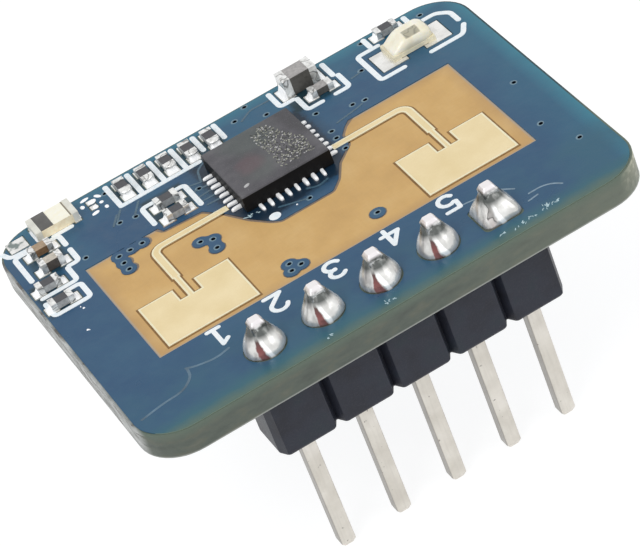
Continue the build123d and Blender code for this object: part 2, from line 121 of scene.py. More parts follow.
# Finishes
class Finish:
    """One material's node tree, with its patterns laid out in millimetres on the object."""

    def __init__(self, name, colour, roughness, metallic=0.0, **sockets):
        self.material = bpy.data.materials.new(name)
        self.material.use_nodes = True
        self.tree = self.material.node_tree
        self.shader = self.tree.nodes["Principled BSDF"]
        fill(self.shader, {"Base Color": colour, "Roughness": roughness, "Metallic": metallic})
        fill(self.shader, {socket.replace("_", " "): value for socket, value in sockets.items()})
        coordinates = self.add("ShaderNodeTexCoord")
        self.normal = coordinates["Normal"]
        self.place = self.mapped(coordinates["Object"], (1 / MM,) * 3)

    def add(self, kind, inputs=None, **settings):
        return add_node(self.tree, kind, inputs, **settings)

    def mapped(self, vector, scale, location=(0, 0, 0)):
        return self.add("ShaderNodeMapping", {"Vector": vector, "Scale": scale, "Location": location})[0]

    def noise(self, per_mm, detail, stretch=(1, 1, 1), shift=(0, 0, 0)):
        """Soft noise with per_mm blotches to the millimetre."""
        place = self.mapped(self.place, stretch, shift)
        return self.add("ShaderNodeTexNoise", {"Vector": place, "Scale": per_mm, "Detail": detail})["Fac"]

    def math(self, operation, a, b=0.0, clamp=False):
        return self.add("ShaderNodeMath", {0: a, 1: b}, operation=operation, use_clamp=clamp)[0]

    def plus(self, a, b):
        return self.math("ADD", a, b)

    def minus(self, a, b):
        return self.math("SUBTRACT", a, b)

    def times(self, first, *others, clamp=False):
        for other in others:
            first = self.math("MULTIPLY", first, other, clamp)
        return first

    def away(self, value, middle=0.0):
        """How far value lies from middle, either way."""
        return self.math("ABSOLUTE", self.minus(value, middle) if middle else value)

    def beyond(self, x, y, middle_x, middle_y, half_x, half_y):
        """How far a place lies outside a box seen from above; less than zero inside."""
        past_x = self.minus(self.away(x, middle_x), half_x)
        past_y = self.minus(self.away(y, middle_y), half_y)
        return self.math("MAXIMUM", past_x, past_y)

    def waver(self, value, reach):
        """A pattern round a half turned into one round zero, reach wide."""
        return self.times(self.minus(value, 0.5), reach)

    def span(self, value, low, high, start=0.0, stop=1.0):
        """value from low..high to start..stop, held at both ends."""
        ends = {"From Min": low, "From Max": high, "To Min": start, "To Max": stop}
        return self.add("ShaderNodeMapRange", {"Value": value, **ends})["Result"]

    def axes(self, vector=None):
        """The x, y and z of a vector, or of the place on the object."""
        return self.add("ShaderNodeSeparateXYZ", {0: vector or self.place})

    def mix(self, share, first, second):
        return self.add("ShaderNodeMix", {0: share, 6: first, 7: second}, data_type="RGBA")[2]

    def layers(self, tone, *coats):
        """Lay colours over a tone, each given as (share, colour)."""
        for share, colour in coats:
            tone = self.mix(share, tone, colour)
        return tone

    def shades(self, value, *stops):
        """A colour ramp: each stop is a place from 0 to 1 and its colour."""
        tone = self.add("ShaderNodeValToRGB", {"Fac": value})["Color"]
        ramp = tone.node.color_ramp
        while len(ramp.elements) < len(stops):
            ramp.elements.new(0.5)
        for element, (place, colour) in zip(ramp.elements, stops):
            element.position = place
            element.color = (*colour, 1)
        return tone

    def done(self, tone, gloss, *relief):
        """The material with its colour, gloss (pattern, lowest, highest) and relief (height, depth in mm)."""
        pattern, low, high = gloss
        below = None
        for height, depth in relief:
            layer = {"Distance": depth * MM, "Height": height, "Normal": below}
            below = self.add("ShaderNodeBump", layer)["Normal"]
        roughness = self.span(pattern, 0.25, 0.75, low, high)
        fill(self.shader, {"Base Color": tone, "Roughness": roughness, "Normal": below})
        return self.material


def shade(colour, factor):
    """The colour made lighter or darker by a factor."""
    return tuple(min(1.0, channel * factor) for channel in colour)


def worn(name, colour, roughness, metallic=0.0, blotch=2.0, grain=12.0, spread=0.18, **sockets):
    """A finish whose colour drifts in blotches, with a fine grain in its gloss and relief."""
    f = Finish(name, colour, roughness, metallic, **sockets)
    drift, fine = f.noise(blotch, 4), f.noise(grain, 2)
    low, high = shade(colour, 1 - spread), shade(colour, 1 + spread)
    tone = f.mix(f.span(fine, 0.35, 0.65, 0.0, 0.35), f.shades(drift, (0.32, low), (0.68, high)), low)
    return f.done(tone, (fine, max(0.02, roughness - 0.08), roughness + 0.08), (fine, 0.004))


MASK_BLUE = (0.029, 0.098, 0.190)
TEAL = (0.028, 0.138, 0.222)
LAMINATE_TAN = (0.70, 0.43, 0.152)

# Middle and half size of each group of small parts, round which the mask is darker
PART_GROUPS = (
    (-9.3, 11.95, 0.75, 1.15),
    (-9.96, 9.45, 0.72, 1.25),
    (-3.05, 13.45, 2.5, 0.65),
    (-4.1, 11.2, 0.90, 0.85),
    (3.45, 13.2, 1.05, 1.05),
)


def blue_mask():
    """Blue solder mask: cloudy, teal towards the rim, with painted shadow round the radar chip and darker
    round the groups of small parts, greenish at the front edge.
    """
    f = Finish("blue_solder_mask", MASK_BLUE, 0.3, Specular_IOR_Level=0.3)
    x, y, z = f.axes()
    _, _, up = f.axes(f.normal)
    cloud, blotch, fine = f.noise(0.35, 5), f.noise(1.3, 4, shift=(2, 7, 0)), f.noise(7.0, 3)
    rim = f.math("MINIMUM", f.minus(BOARD_RIGHT, x), f.minus(BOARD_REAR, y))
    above = f.math("GREATER_THAN", z, BOARD_MIDDLE)
    in_front = f.times(f.span(y, 7.9, 7.6), f.span(x, 1.4, -0.9, 0.2, 0.5))
    from_chip = f.minus(f.beyond(x, y, 0.0, CHIP_Y, CHIP_HALF, CHIP_HALF), in_front)
    from_chip = f.plus(from_chip, f.waver(fine, 0.35))
    patchy = f.times(f.span(blotch, 0.35, 0.6, 0.6, 1.0), above)
    groups = [f.times(f.span(f.beyond(x, y, *box), 0.10, -0.10, 0.0, 0.9), patchy) for box in PART_GROUPS]
    edge = f.plus(y, f.waver(blotch, 0.5))
    wall = f.times(f.math("LESS_THAN", f.away(up), 0.5), f.math("LESS_THAN", y, -1.2))
    tone = f.layers(
        f.shades(cloud, (0.35, (0.024, 0.087, 0.180)), (0.52, MASK_BLUE), (0.7, (0.040, 0.118, 0.205))),
        (f.times(f.span(blotch, 0.5, 0.7, 0.0, 0.45), f.span(y, 9.0, 11.5)), (0.060, 0.085, 0.165)),
        (f.times(f.span(rim, 0.1, 2.6, 0.9, 0.0), f.span(cloud, 0.3, 0.65, 0.55, 1.0)), TEAL),
        (f.times(f.span(y, 9.0, 12.5, 0.0, 0.5), f.span(cloud, 0.42, 0.60)), TEAL),
        (f.times(f.span(rim, 0.05, 0.8, 0.85, 0.0), f.span(x, -4.0, 9.0, 0.45, 1.0)), (0.046, 0.240, 0.320)),
        (f.span(blotch, 0.45, 0.7, 0.0, 0.22), (0.048, 0.140, 0.215)),
        # Painted shadow round the radar chip, reaching further out in front of it, with a softer painted
        # shade beyond
        (f.times(f.span(from_chip, 0.64, 0.42, 0.0, 0.95), above), (0.004, 0.006, 0.009)),
        (f.times(f.span(from_chip, 1.1, 0.5, 0.0, 0.5), above), (0.012, 0.040, 0.080)),
        *[(group, (0.010, 0.034, 0.042)) for group in groups],
        (f.times(f.span(y, 2.3, 1.0), f.span(cloud, 0.40, 0.58, 0.15, 0.75)), (0.034, 0.120, 0.180)),
        (f.span(edge, -0.75, -1.35, 0.0, 0.7), (0.038, 0.142, 0.168)),
        (f.span(edge, -1.3, -1.75, 0.0, 0.9), (0.100, 0.162, 0.132)),
        (wall, (0.26, 0.33, 0.26)),
    )
    return f.done(tone, (cloud, 0.26, 0.36), (f.noise(1.6, 3), 0.015))


def laminate():
    """Bare glass-epoxy: tan with a fine weave on top, green-grey and streaked round the cut edge."""
    f = Finish("bare_laminate", LAMINATE_TAN, 0.5)
    x, y, z = f.axes()
    across, _, up = f.axes(f.normal)
    cloud, fine, streak = f.noise(0.6, 5), f.noise(9.0, 3), f.noise(1.7, 4, (0.6, 0.6, 1.6))
    warp, weft = f.noise(14.0, 1, (1, 0.12, 1)), f.noise(14.0, 1, (0.12, 1, 1), shift=(3, 1, 0))
    weave = f.times(f.plus(warp, weft), 0.5)
    beyond = f.beyond(x, y, 0.0, WINDOW_Y, WINDOW_HALF_LENGTH, WINDOW_HALF_WIDTH)
    tan = f.layers(
        f.shades(cloud, (0.3, (0.64, 0.385, 0.135)), (0.5, LAMINATE_TAN), (0.72, (0.75, 0.485, 0.190))),
        (f.span(weave, 0.42, 0.62, 0.0, 0.08), (0.50, 0.30, 0.11)),
        (f.span(beyond, 0.0, -0.6, 0.42, 0.0), (0.42, 0.245, 0.120)),
        (f.span(beyond, -0.03, -0.12, 0.85, 0.0), (0.46, 0.40, 0.33)),
    )
    green, olive, moss = (0.094, 0.112, 0.090), (0.112, 0.122, 0.092), (0.140, 0.150, 0.122)
    cut = f.shades(streak, (0.3, (0.072, 0.085, 0.070)), (0.5, green), (0.62, olive), (0.75, moss))
    chips = f.times(f.span(f.noise(3.5, 3, shift=(2, 2, 8)), 0.50, 0.60), f.span(z, 3.3, 4.0, 0.15, 0.9))
    flecked = f.mix(f.span(z, 3.3, 4.1), (0.215, 0.235, 0.175), (0.42, 0.42, 0.31))
    pale = f.shades(streak, (0.3, (0.24, 0.25, 0.235)), (0.5, (0.40, 0.41, 0.39)), (0.7, (0.58, 0.59, 0.57)))
    stain = f.noise(1.4, 4, (0.5, 0.5, 6.0), shift=(3, 1, 2))
    cut = f.layers(
        cut,
        (f.span(x, 1.0, 10.0, 0.0, 0.55), (0.190, 0.215, 0.160)),
        (f.span(z, 3.80, 4.15, 0.0, 0.85), (0.112, 0.150, 0.112)),
        (f.span(across, 0.25, 0.80, 0.0, 0.9), f.mix(chips, flecked, (0.70, 0.68, 0.52))),
        (
            f.times(f.span(x, -10.70, -10.85), f.span(y, -1.6, -0.4)),
            f.mix(f.span(stain, 0.56, 0.62, 0.0, 0.85), pale, (0.10, 0.085, 0.075)),
        ),
        (f.times(f.span(y, 2.0, 5.0), f.span(x, 0.0, 3.0), f.span(z, 3.9, 4.1)), (0.016, 0.055, 0.066)),
        (f.span(z, 3.12, 3.03, 0.0, 0.85), (0.52, 0.53, 0.49)),
    )
    side, outside = f.math("LESS_THAN", f.away(up), 0.5), f.math("GREATER_THAN", beyond, 0.0)
    tone = f.mix(f.math("MAXIMUM", side, outside), tan, cut)
    return f.done(tone, (fine, 0.42, 0.6), (weave, 0.006), (streak, 0.012), (fine, 0.003))


def gold_plate():
    """Gold over copper, pale and slightly brushed by the etching."""
    f = Finish("gold_plated_copper", (0.86, 0.70, 0.40), 0.42, 0.35)
    cloud, fine = f.noise(0.8, 4), f.noise(18.0, 2)
    tone = f.shades(cloud, (0.3, (0.87, 0.70, 0.385)), (0.7, (0.95, 0.79, 0.48)))
    tone = f.mix(f.span(fine, 0.4, 0.7, 0.0, 0.12), tone, (0.78, 0.61, 0.33))
    return f.done(tone, (fine, 0.36, 0.5), (fine, 0.003))


def chip_epoxy():
    """Moulded chip body: matt charcoal clouded with green and plum, pale sand, and side walls painted
    near-black as shade.
    """
    f = Finish("moulded_chip_epoxy", (0.075, 0.070, 0.080), 0.5)
    cloud, stain, sand = f.noise(0.9, 4), f.noise(0.55, 3, shift=(5, 3, 0)), f.noise(20.0, 2)
    dark, middling, pale = (0.048, 0.046, 0.052), (0.078, 0.074, 0.084), (0.118, 0.114, 0.122)
    tone = f.shades(cloud, (0.32, dark), (0.5, middling), (0.66, pale))
    for x, y, reach, colour in (
        (-0.3, 11.3, 1.4, (0.078, 0.104, 0.092)),
        (-0.45, 9.3, 1.0, (0.082, 0.100, 0.088)),
        (-0.72, 9.7, 0.7, (0.135, 0.070, 0.086)),
    ):
        far = f.add("ShaderNodeVectorMath", {0: f.place, 1: (x, y, CHIP_TOP)}, operation="DISTANCE")["Value"]
        far = f.plus(far, f.waver(stain, 2.4))
        tone = f.mix(f.span(far, reach, reach * 0.3, 0.0, 0.5), tone, colour)
    # Painted shade: the side walls are painted near-black under the lighter top
    flat = f.away(f.axes(f.normal)[2])
    tone = f.layers(
        tone,
        (f.span(sand, 0.55, 0.72, 0.0, 0.5), (0.19, 0.185, 0.19)),
        (f.span(flat, 0.2, 0.8, 0.95, 0.0), (0.006, 0.006, 0.006)),
    )
    fill(f.shader, {"Specular IOR Level": f.span(flat, 0.2, 0.8, 0.12, 0.5)})
    return f.done(tone, (sand, 0.40, 0.6), (sand, 0.006), (cloud, 0.02))


def black_nylon():
    """Glass-filled black nylon with a dull skin."""
    f = Finish("black_header_nylon", (0.026, 0.028, 0.040), 0.42, Specular_IOR_Level=0.3)
    cloud, fine = f.noise(0.9, 4), f.noise(16.0, 3)
    black, blue, green = (0.018, 0.019, 0.027), (0.024, 0.027, 0.040), (0.021, 0.031, 0.040)
    tone = f.shades(cloud, (0.3, black), (0.55, blue), (0.75, green))
    tone = f.mix(f.span(fine, 0.5, 0.75, 0.0, 0.35), tone, (0.055, 0.054, 0.064))
    return f.done(tone, (fine, 0.36, 0.52), (fine, 0.006), (cloud, 0.03))


def pin_metal():
    """Tinned brass posts: warm silver, drawn lengthways, with dark pits and painted shade on their left
    faces; above the solder, painted reflections and painted light on the tip and upward faces.
    """
    f = Finish("tinned_pin_metal", (0.70, 0.66, 0.59), 0.36, 0.6)
    _, _, z = f.axes()
    across, _, up = f.axes(f.normal)
    drawn, cloud = f.noise(9.0, 3, (1, 1, 0.07)), f.noise(0.9, 4)
    pits, wet = f.noise(5.5, 2, shift=(2, 5, 1)), f.noise(3.2, 3, shift=(1, 4, 6))
    post = f.layers(
        f.shades(cloud, (0.3, (0.66, 0.62, 0.55)), (0.55, (0.76, 0.72, 0.65)), (0.75, (0.84, 0.80, 0.74))),
        (f.span(drawn, 0.45, 0.7, 0.0, 0.25), (0.58, 0.55, 0.50)),
        (f.span(pits, 0.70, 0.745, 0.0, 0.7), (0.20, 0.18, 0.16)),
        # Painted shade: faces turned towards -x are darker
        (f.span(across, -0.5, -0.9, 0.0, 0.75), (0.26, 0.245, 0.225)),
    )
    # Above the solder the pin is painted with reflections in dark and pale grey, and with painted light near
    # its tip and on its upward faces
    mirror = f.layers(
        f.shades(wet, (0.38, (0.10, 0.105, 0.10)), (0.5, (0.34, 0.34, 0.33)), (0.62, (0.78, 0.77, 0.76))),
        (f.span(z, 5.40, 5.50), (0.90, 0.86, 0.87)),
        (f.span(up, 0.65, 0.95), (0.92, 0.88, 0.88)),
    )
    tone = f.mix(f.span(z, 4.3, 4.32), post, mirror)
    return f.done(tone, (drawn, 0.28, 0.46), (drawn, 0.006), (pits, 0.01))


def solder():
    """Bright solder; each header joint has a red-brown wedge, a painted glint beside it that also glows,
    painted shade on its left and far sides and round its foot, and a neck painted dark as a reflection.
    """
    f = Finish("bright_solder", (0.80, 0.79, 0.78), 0.18, 0.5, Emission_Color=(1, 1, 1, 1))
    x, y, z = f.axes()
    frost, drawn = f.noise(2.2, 3), f.noise(3.4, 2, (1, 1, 0.3), shift=(4, 0, 2))
    joint_reach, last_joint_x = 1.2, 3.9
    header = f.math("LESS_THAN", f.away(y), joint_reach)
    last = f.math("GREATER_THAN", x, last_joint_x)
    pitch = PINS[1] - PINS[0]
    from_pin = f.minus(f.math("FLOORED_MODULO", f.plus(x, pitch / 2), pitch), pitch / 2)

    # The turn round the pin, from the middle of the red-brown wedge, leaning with height
    lean = f.times(f.minus(z, MASK_TOP), 0.35)
    off = f.plus(f.plus(f.math("ARCTAN2", y, from_pin), 2.02), lean)
    off = f.plus(off, f.waver(frost, 0.35))
    # Painted shade on the left and far sides of each joint, in drawn bands
    left = f.times(f.span(off, -0.12, -0.3), f.span(off, -1.5, -1.1), f.span(drawn, 0.40, 0.60, 0.15, 0.75))
    far = f.times(f.span(off, 0.9, 1.3), f.span(drawn, 0.5, 0.65, 0.1, 0.6), header)
    # A red-brown wedge down the front of each joint, blackish near the neck, faint on the last joint
    half = f.span(z, 4.30, 4.95, 0.25, 0.17)
    wedge_share = f.times(f.minus(half, f.away(off)), 14.0, clamp=True)
    wedge_share = f.times(wedge_share, header, f.span(z, 5.05, 4.85), f.minus(0.96, f.times(last, 0.75)))
    red, brown, blackish_brown = (0.34, 0.125, 0.115), (0.24, 0.060, 0.058), (0.055, 0.040, 0.036)
    flux = f.shades(f.span(z, 4.25, 4.95), (0.0, red), (0.45, brown), (1.0, blackish_brown))
    beside = f.minus(f.minus(off, half), 0.16)
    glint = f.times(f.span(f.away(beside), 0.16, 0.09), f.span(z, 5.0, 4.85), header)

    # The last joint gets painted shade: a dark crease line and a grey shade beside it
    fold = f.plus(f.minus(off, 0.02), f.waver(f.noise(1.8, 2, shift=(6, 2, 3)), 1.8))
    crease = f.times(f.span(f.away(fold), 0.085, 0.03), f.span(z, 4.30, 4.42))
    crease_shade = f.times(f.span(fold, 0.0, 0.04, 0.0, 0.6), f.span(fold, 0.50, 0.12), f.span(z, 4.40, 4.60))
    crease = f.times(f.math("MAXIMUM", crease, crease_shade), header, last, 0.85)

    # Painted reflection: the neck of each joint is painted dark grey
    neck = f.times(f.span(z, 4.86, 5.08), f.span(drawn, 0.30, 0.50, 0.65, 0.95), header)
    corner = f.times(f.span(x, -9.3, -9.4), f.span(y, 13.5, 13.6))
    murk = f.times(f.span(f.noise(2.0, 3, shift=(7, 2, 4)), 0.47, 0.56, 0.0, 0.85), corner)
    tone = f.layers(
        f.shades(frost, (0.35, (0.76, 0.75, 0.72)), (0.6, (0.93, 0.92, 0.89))),
        (left, (0.40, 0.38, 0.37)),
        (far, (0.48, 0.48, 0.45)),
        (wedge_share, flux),
        (glint, (1.0, 1.0, 1.0)),
        (crease, (0.10, 0.10, 0.095)),
        (neck, (0.085, 0.095, 0.090)),
        # Painted shade round the foot of each joint
        (f.times(f.span(z, 4.26, 4.20, 0.0, 0.4), header), (0.34, 0.28, 0.29)),
        (murk, (0.115, 0.165, 0.155)),
    )
    fill(f.shader, {"Emission Strength": f.times(glint, 0.22)})
    return f.done(tone, (frost, 0.14, 0.30), (frost, 0.012), (drawn, 0.02))


def tinned():
    """Dull tin on end caps, with fine dark cracks."""
    f = Finish("dull_tin", (0.80, 0.79, 0.77), 0.34, 0.6)
    grain = f.noise(5.0, 4)
    tone = f.shades(grain, (0.3, (0.56, 0.55, 0.53)), (0.46, (0.82, 0.82, 0.80)), (0.66, (0.96, 0.96, 0.94)))
    crack = f.away(f.noise(1.7, 1, shift=(3, 5, 1)), 0.5)
    tone = f.mix(f.span(crack, 0.030, 0.008, 0.0, 0.75), tone, (0.13, 0.13, 0.125))
    return f.done(tone, (grain, 0.24, 0.46), (grain, 0.015))


def print_white():
    """Screen-printed white ink, thin at its grains; it glows faintly, as painted light."""
    f = Finish("white_ink", (0.93, 0.98, 1.0), 0.6, Emission_Strength=0.06, Emission_Color=(0.9, 1.0, 1.0, 1))
    thin = f.noise(6.0, 3)
    tone = f.shades(thin, (0.3, (0.80, 0.89, 0.93)), (0.45, (0.93, 0.98, 1.0)), (0.7, (1.0, 1.0, 1.0)))
    return f.done(tone, (thin, 0.5, 0.62), (thin, 0.003))


def ceramic(name, top, side):
    """A fired ceramic block whose top differs from its sides: the top shows its own colour, and the sides
    their own colour darkened by painted shade.
    """
    f = Finish(name, top, 0.45)
    grain = f.noise(7.0, 3)
    upper = f.shades(grain, (0.3, shade(top, 0.8)), (0.7, shade(top, 1.2)))
    lower = f.shades(grain, (0.3, shade(side, 0.75)), (0.7, shade(side, 1.15)))
    tone = f.mix(f.span(f.away(f.axes(f.normal)[2]), 0.4, 0.6), lower, upper)
    return f.done(tone, (grain, 0.36, 0.55), (grain, 0.006))


def antenna_ceramic():
    """Cream fired block with tan sides and one thin dark line across its right end; it glows faintly cream,
    as painted light.
    """
    f = Finish("antenna_ceramic", (0.88, 0.85, 0.74), 0.45, Emission_Strength=0.09,
               Emission_Color=(1.0, 0.88, 0.62, 1))
    x, _, _ = f.axes()
    _, _, up = f.axes(f.normal)
    grain = f.noise(7.0, 3)
    upper = f.shades(grain, (0.3, (0.97, 0.92, 0.76)), (0.55, (1.0, 0.97, 0.82)), (0.75, (1.0, 1.0, 0.90)))
    lower = f.shades(grain, (0.3, (0.84, 0.71, 0.47)), (0.7, (0.98, 0.86, 0.62)))
    line_x = -7.5
    upper = f.mix(f.span(f.away(x, line_x), 0.022, 0.045, 0.92, 0.0), upper, (0.055, 0.035, 0.02))
    return f.done(f.mix(f.span(up, 0.4, 0.6), lower, upper), (grain, 0.36, 0.55), (grain, 0.006))


def cloudy_lens():
    """Clear resin over a small die: cream and cloudy, with a dark window on top; it glows faintly cream, as
    painted light.
    """
    f = Finish("cloudy_resin_lens", (0.80, 0.72, 0.53), 0.18, Subsurface_Weight=0.25,
               Subsurface_Radius=(0.0006, 0.0005, 0.0003), Coat_Weight=0.5, Emission_Strength=0.08,
               Emission_Color=(1.0, 0.88, 0.64, 1))
    x, y, z = f.axes()
    drift = f.noise(1.6, 4)
    tone = f.shades(drift, (0.3, (0.88, 0.79, 0.58)), (0.55, (1.0, 0.94, 0.76)), (0.75, (1.0, 0.98, 0.88)))
    die_x, die_y, lens_top = 8.05, 12.05, 4.84
    die = f.times(f.span(f.away(x, die_x), 0.37, 0.31), f.span(f.away(y, die_y), 0.40, 0.34))
    ring = f.away(f.noise(2.4, 1, shift=(1, 0, 0)), 0.5)
    window = f.mix(f.span(ring, 0.0, 0.06, 0.8, 0.0), (0.40, 0.38, 0.28), (0.17, 0.17, 0.13))
    tone = f.mix(f.times(die, f.span(z, lens_top, lens_top + 0.04)), tone, window)
    return f.done(tone, (drift, 0.12, 0.26), (drift, 0.02))


FINISHES = {
    "laminate": laminate(),
    "blue_mask": blue_mask(),
    "gold_plating": gold_plate(),
    "white_print": print_white(),
    "black_plastic": black_nylon(),
    "tinned_pin": pin_metal(),
    "solder": solder(),
    "tinned_end": tinned(),
    "chip_epoxy": chip_epoxy(),
    "crystal_ceramic": worn("crystal_base_ceramic", (0.20, 0.17, 0.14), 0.5),
    "crystal_lid": worn("crystal_lid_metal", (0.62, 0.59, 0.52), 0.3, 0.8),
    "antenna_ceramic": antenna_ceramic(),
    "dark_print": worn("dark_marking_ink", (0.125, 0.120, 0.112), 0.6, grain=16.0),
    "sensor_base": worn("sensor_base_ceramic", (0.90, 0.82, 0.60), 0.4, spread=0.12),
    "sensor_lens": cloudy_lens(),
    # Painted shade on the sides: a resistor's white ceramic sides are grey, a capacitor's sides darker than
    # its top
    "resistor_film": ceramic("resistor_film_ceramic", (0.065, 0.065, 0.072), (0.42, 0.43, 0.43)),
    "grey_dielectric": ceramic("grey_capacitor_ceramic", (0.42, 0.40, 0.385), (0.105, 0.100, 0.090)),
    "brown_dielectric": ceramic("brown_capacitor_ceramic", (0.42, 0.30, 0.19), (0.26, 0.15, 0.075)),
}
for part in frame["record"]["subparts"]:
    coats = nodes[part["node"]].data.materials
    coats.clear()
    coats.append(FINISHES[part["material_slot"]])
cream_ends = worn("fired_silver_ends", (0.88, 0.86, 0.76), 0.42, spread=0.12)
nodes["chip_antenna_ends"].data.materials[0] = cream_ends
nodes["light_sensor_ends"].data.materials[0] = FINISHES["sensor_base"]

# Solder on the toes and fillets glows faintly white: a painted highlight in place of glints
bright_tin = worn("wet_solder_toes", (1.0, 1.0, 0.99), 0.3, 0.1, blotch=4.0, spread=0.04,
                  Emission_Strength=0.16, Emission_Color=(1, 1, 1, 1))
via_rim = worn("masked_via_rim", (0.165, 0.270, 0.335), 0.25, blotch=5.0)
via_hole = worn("via_hole_shadow", (0.003, 0.004, 0.006), 0.8, blotch=5.0, Specular_IOR_Level=0.0)
mask_shade = worn("mask_edge_shade", (0.25, 0.185, 0.135), 0.5, blotch=3.0)
etch_shadow_line = worn("etched_edge_shadow", (0.29, 0.155, 0.050), 0.7, blotch=5.0)
gold_edge_highlight = worn("plated_edge_glint", (1.0, 0.90, 0.62), 0.35, 0.0, blotch=5.0, spread=0.03)
mask_ridge = worn("mask_over_tracks", (0.065, 0.135, 0.190), 0.25, blotch=3.0)
flux_film = worn("dried_flux", (0.23, 0.33, 0.41), 0.4, blotch=5.0)
faint_film = worn("faint_plane_edge", (0.105, 0.190, 0.265), 0.35, blotch=1.0, spread=0.4)
flux_crumbs = worn("flux_crumbs", (0.50, 0.66, 0.70), 0.4, blotch=5.0)
chip_fleck = worn("chip_surface_flecks", (0.36, 0.36, 0.29), 0.5, blotch=6.0, spread=0.5)
chip_groove = worn("chip_surface_grooves", (0.030, 0.032, 0.028), 0.6, blotch=6.0)
chip_smudge = worn("chip_corner_smudge", (0.55, 0.54, 0.53), 0.5, blotch=6.0)
# Painted shade: this capacitor's sides are near-black under its pale top
side_dielectric = ceramic("side_capacitor_ceramic", (0.62, 0.56, 0.47), (0.085, 0.070, 0.060))
nodes["side_capacitor_2"].data.materials[0] = side_dielectric


# Shapes
def put_in_scene(name, data):
    """A new object, shown in the scene."""
    made = bpy.data.objects.new(name, data)
    bpy.context.scene.collection.objects.link(made)
    return made


def piece(name, corners, faces, finish, slot, smooth=True, covers=()):
    """A finished piece from corners in millimetres, carried by the board."""
    mesh = bpy.data.meshes.new(name)
    mesh.from_pydata([tuple(value * MM for value in corner) for corner in corners], [], faces)
    mesh.validate()
    return kept(name, mesh, finish, smooth, covers)


def kept(name, mesh, finish, smooth=True, covers=()):
    """Give a mesh its finish and name, and stand it for the modelled nodes that it covers."""
    mesh.polygons.foreach_set("use_smooth", [smooth] * len(mesh.polygons))
    if not mesh.materials:
        mesh.materials.append(finish)
    made = put_in_scene(name, mesh)
    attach(made, "root")
    if covers:
        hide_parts(*covers)
    return made


def neighbours(count):
    """Each corner of a ring with the next one."""
    return [(i, (i + 1) % count) for i in range(count)]


def band(low, high, count):
    """Faces between two rings of count corners, each given by the number of its first corner."""
    return [(low + i, low + n, high + n, high + i) for i, n in neighbours(count)]


def dome(around=14, rings=5, boxy=1.0):
    """Half of a unit ball standing on its closed foot; boxy under 1 squares it off."""

    def squared(value):
        return abs(value) ** boxy * (1 if value >= 0 else -1)

    corners = [(0, 0, 1)]
    for ring in range(1, rings + 1):
        tilt = pi / 2 * ring / rings
        for i in range(around):
            turn = tau * i / around
            flat, height = squared(sin(tilt)), squared(max(cos(tilt), 0.0))
            corners.append((flat * squared(cos(turn)), flat * squared(sin(turn)), height))
    faces = [(0, 1 + i, 1 + n) for i, n in neighbours(around)]
    for ring in range(rings - 1):
        low, high = 1 + (ring + 1) * around, 1 + ring * around
        faces += [(high + i, low + i, low + n, high + n) for i, n in neighbours(around)]
    last = 1 + (rings - 1) * around
    faces.append(tuple(last + i for i in reversed(range(around))))
    return corners, faces


def wedge():
    """Hollow-faced solder fillet one unit wide, deep and high; its back stands at x = 0."""
    across, out = 7, 6
    corners = []
    for i in range(out + 1):
        x = i / out
        height = 0.06 + 0.94 * (1 - x) ** 1.8
        for j in range(across + 1):
            y = 2 * j / across - 1
            fall = (1 - abs(y) ** 3.0 * 0.55) * (1 if abs(y) < 1 else 0.25)
            corners.append((x * (1 - 0.12 * y * y), y / 2, height * fall))
    row = across + 1
    starts = [i * row + j for i in range(out) for j in range(across)]
    faces = [(a, a + row, a + row + 1, a + 1) for a in starts]
    border = list(range(row)) + [k * row + across for k in range(1, out + 1)]
    border += [out * row + j for j in range(across - 1, -1, -1)] + [k * row for k in range(out - 1, 0, -1)]
    foot = len(corners)
    corners += [(corners[k][0], corners[k][1], 0) for k in border]
    count = len(border)
    faces += [(border[k], border[n], foot + n, foot + k) for k, n in neighbours(count)]
    faces.append(tuple(foot + k for k in range(count)))
    return corners, faces


def ring_disc():
    """Low rounded ring of unit radius with an open middle."""
    around = 20
    section = [(1.0, 0.0), (0.94, 0.6), (0.8, 1.0), (0.62, 0.85), (0.5, 0.4), (0.5, 0.0)]
    corners = [
        (r * cos(tau * i / around), r * sin(tau * i / around), z) for i in range(around) for r, z in section
    ]
    count = len(section)
    faces = []
    for i, n in neighbours(around):
        a, b = i * count, n * count
        faces += [(a + k, b + k, b + m, a + m) for k, m in neighbours(count)]
    return corners, faces


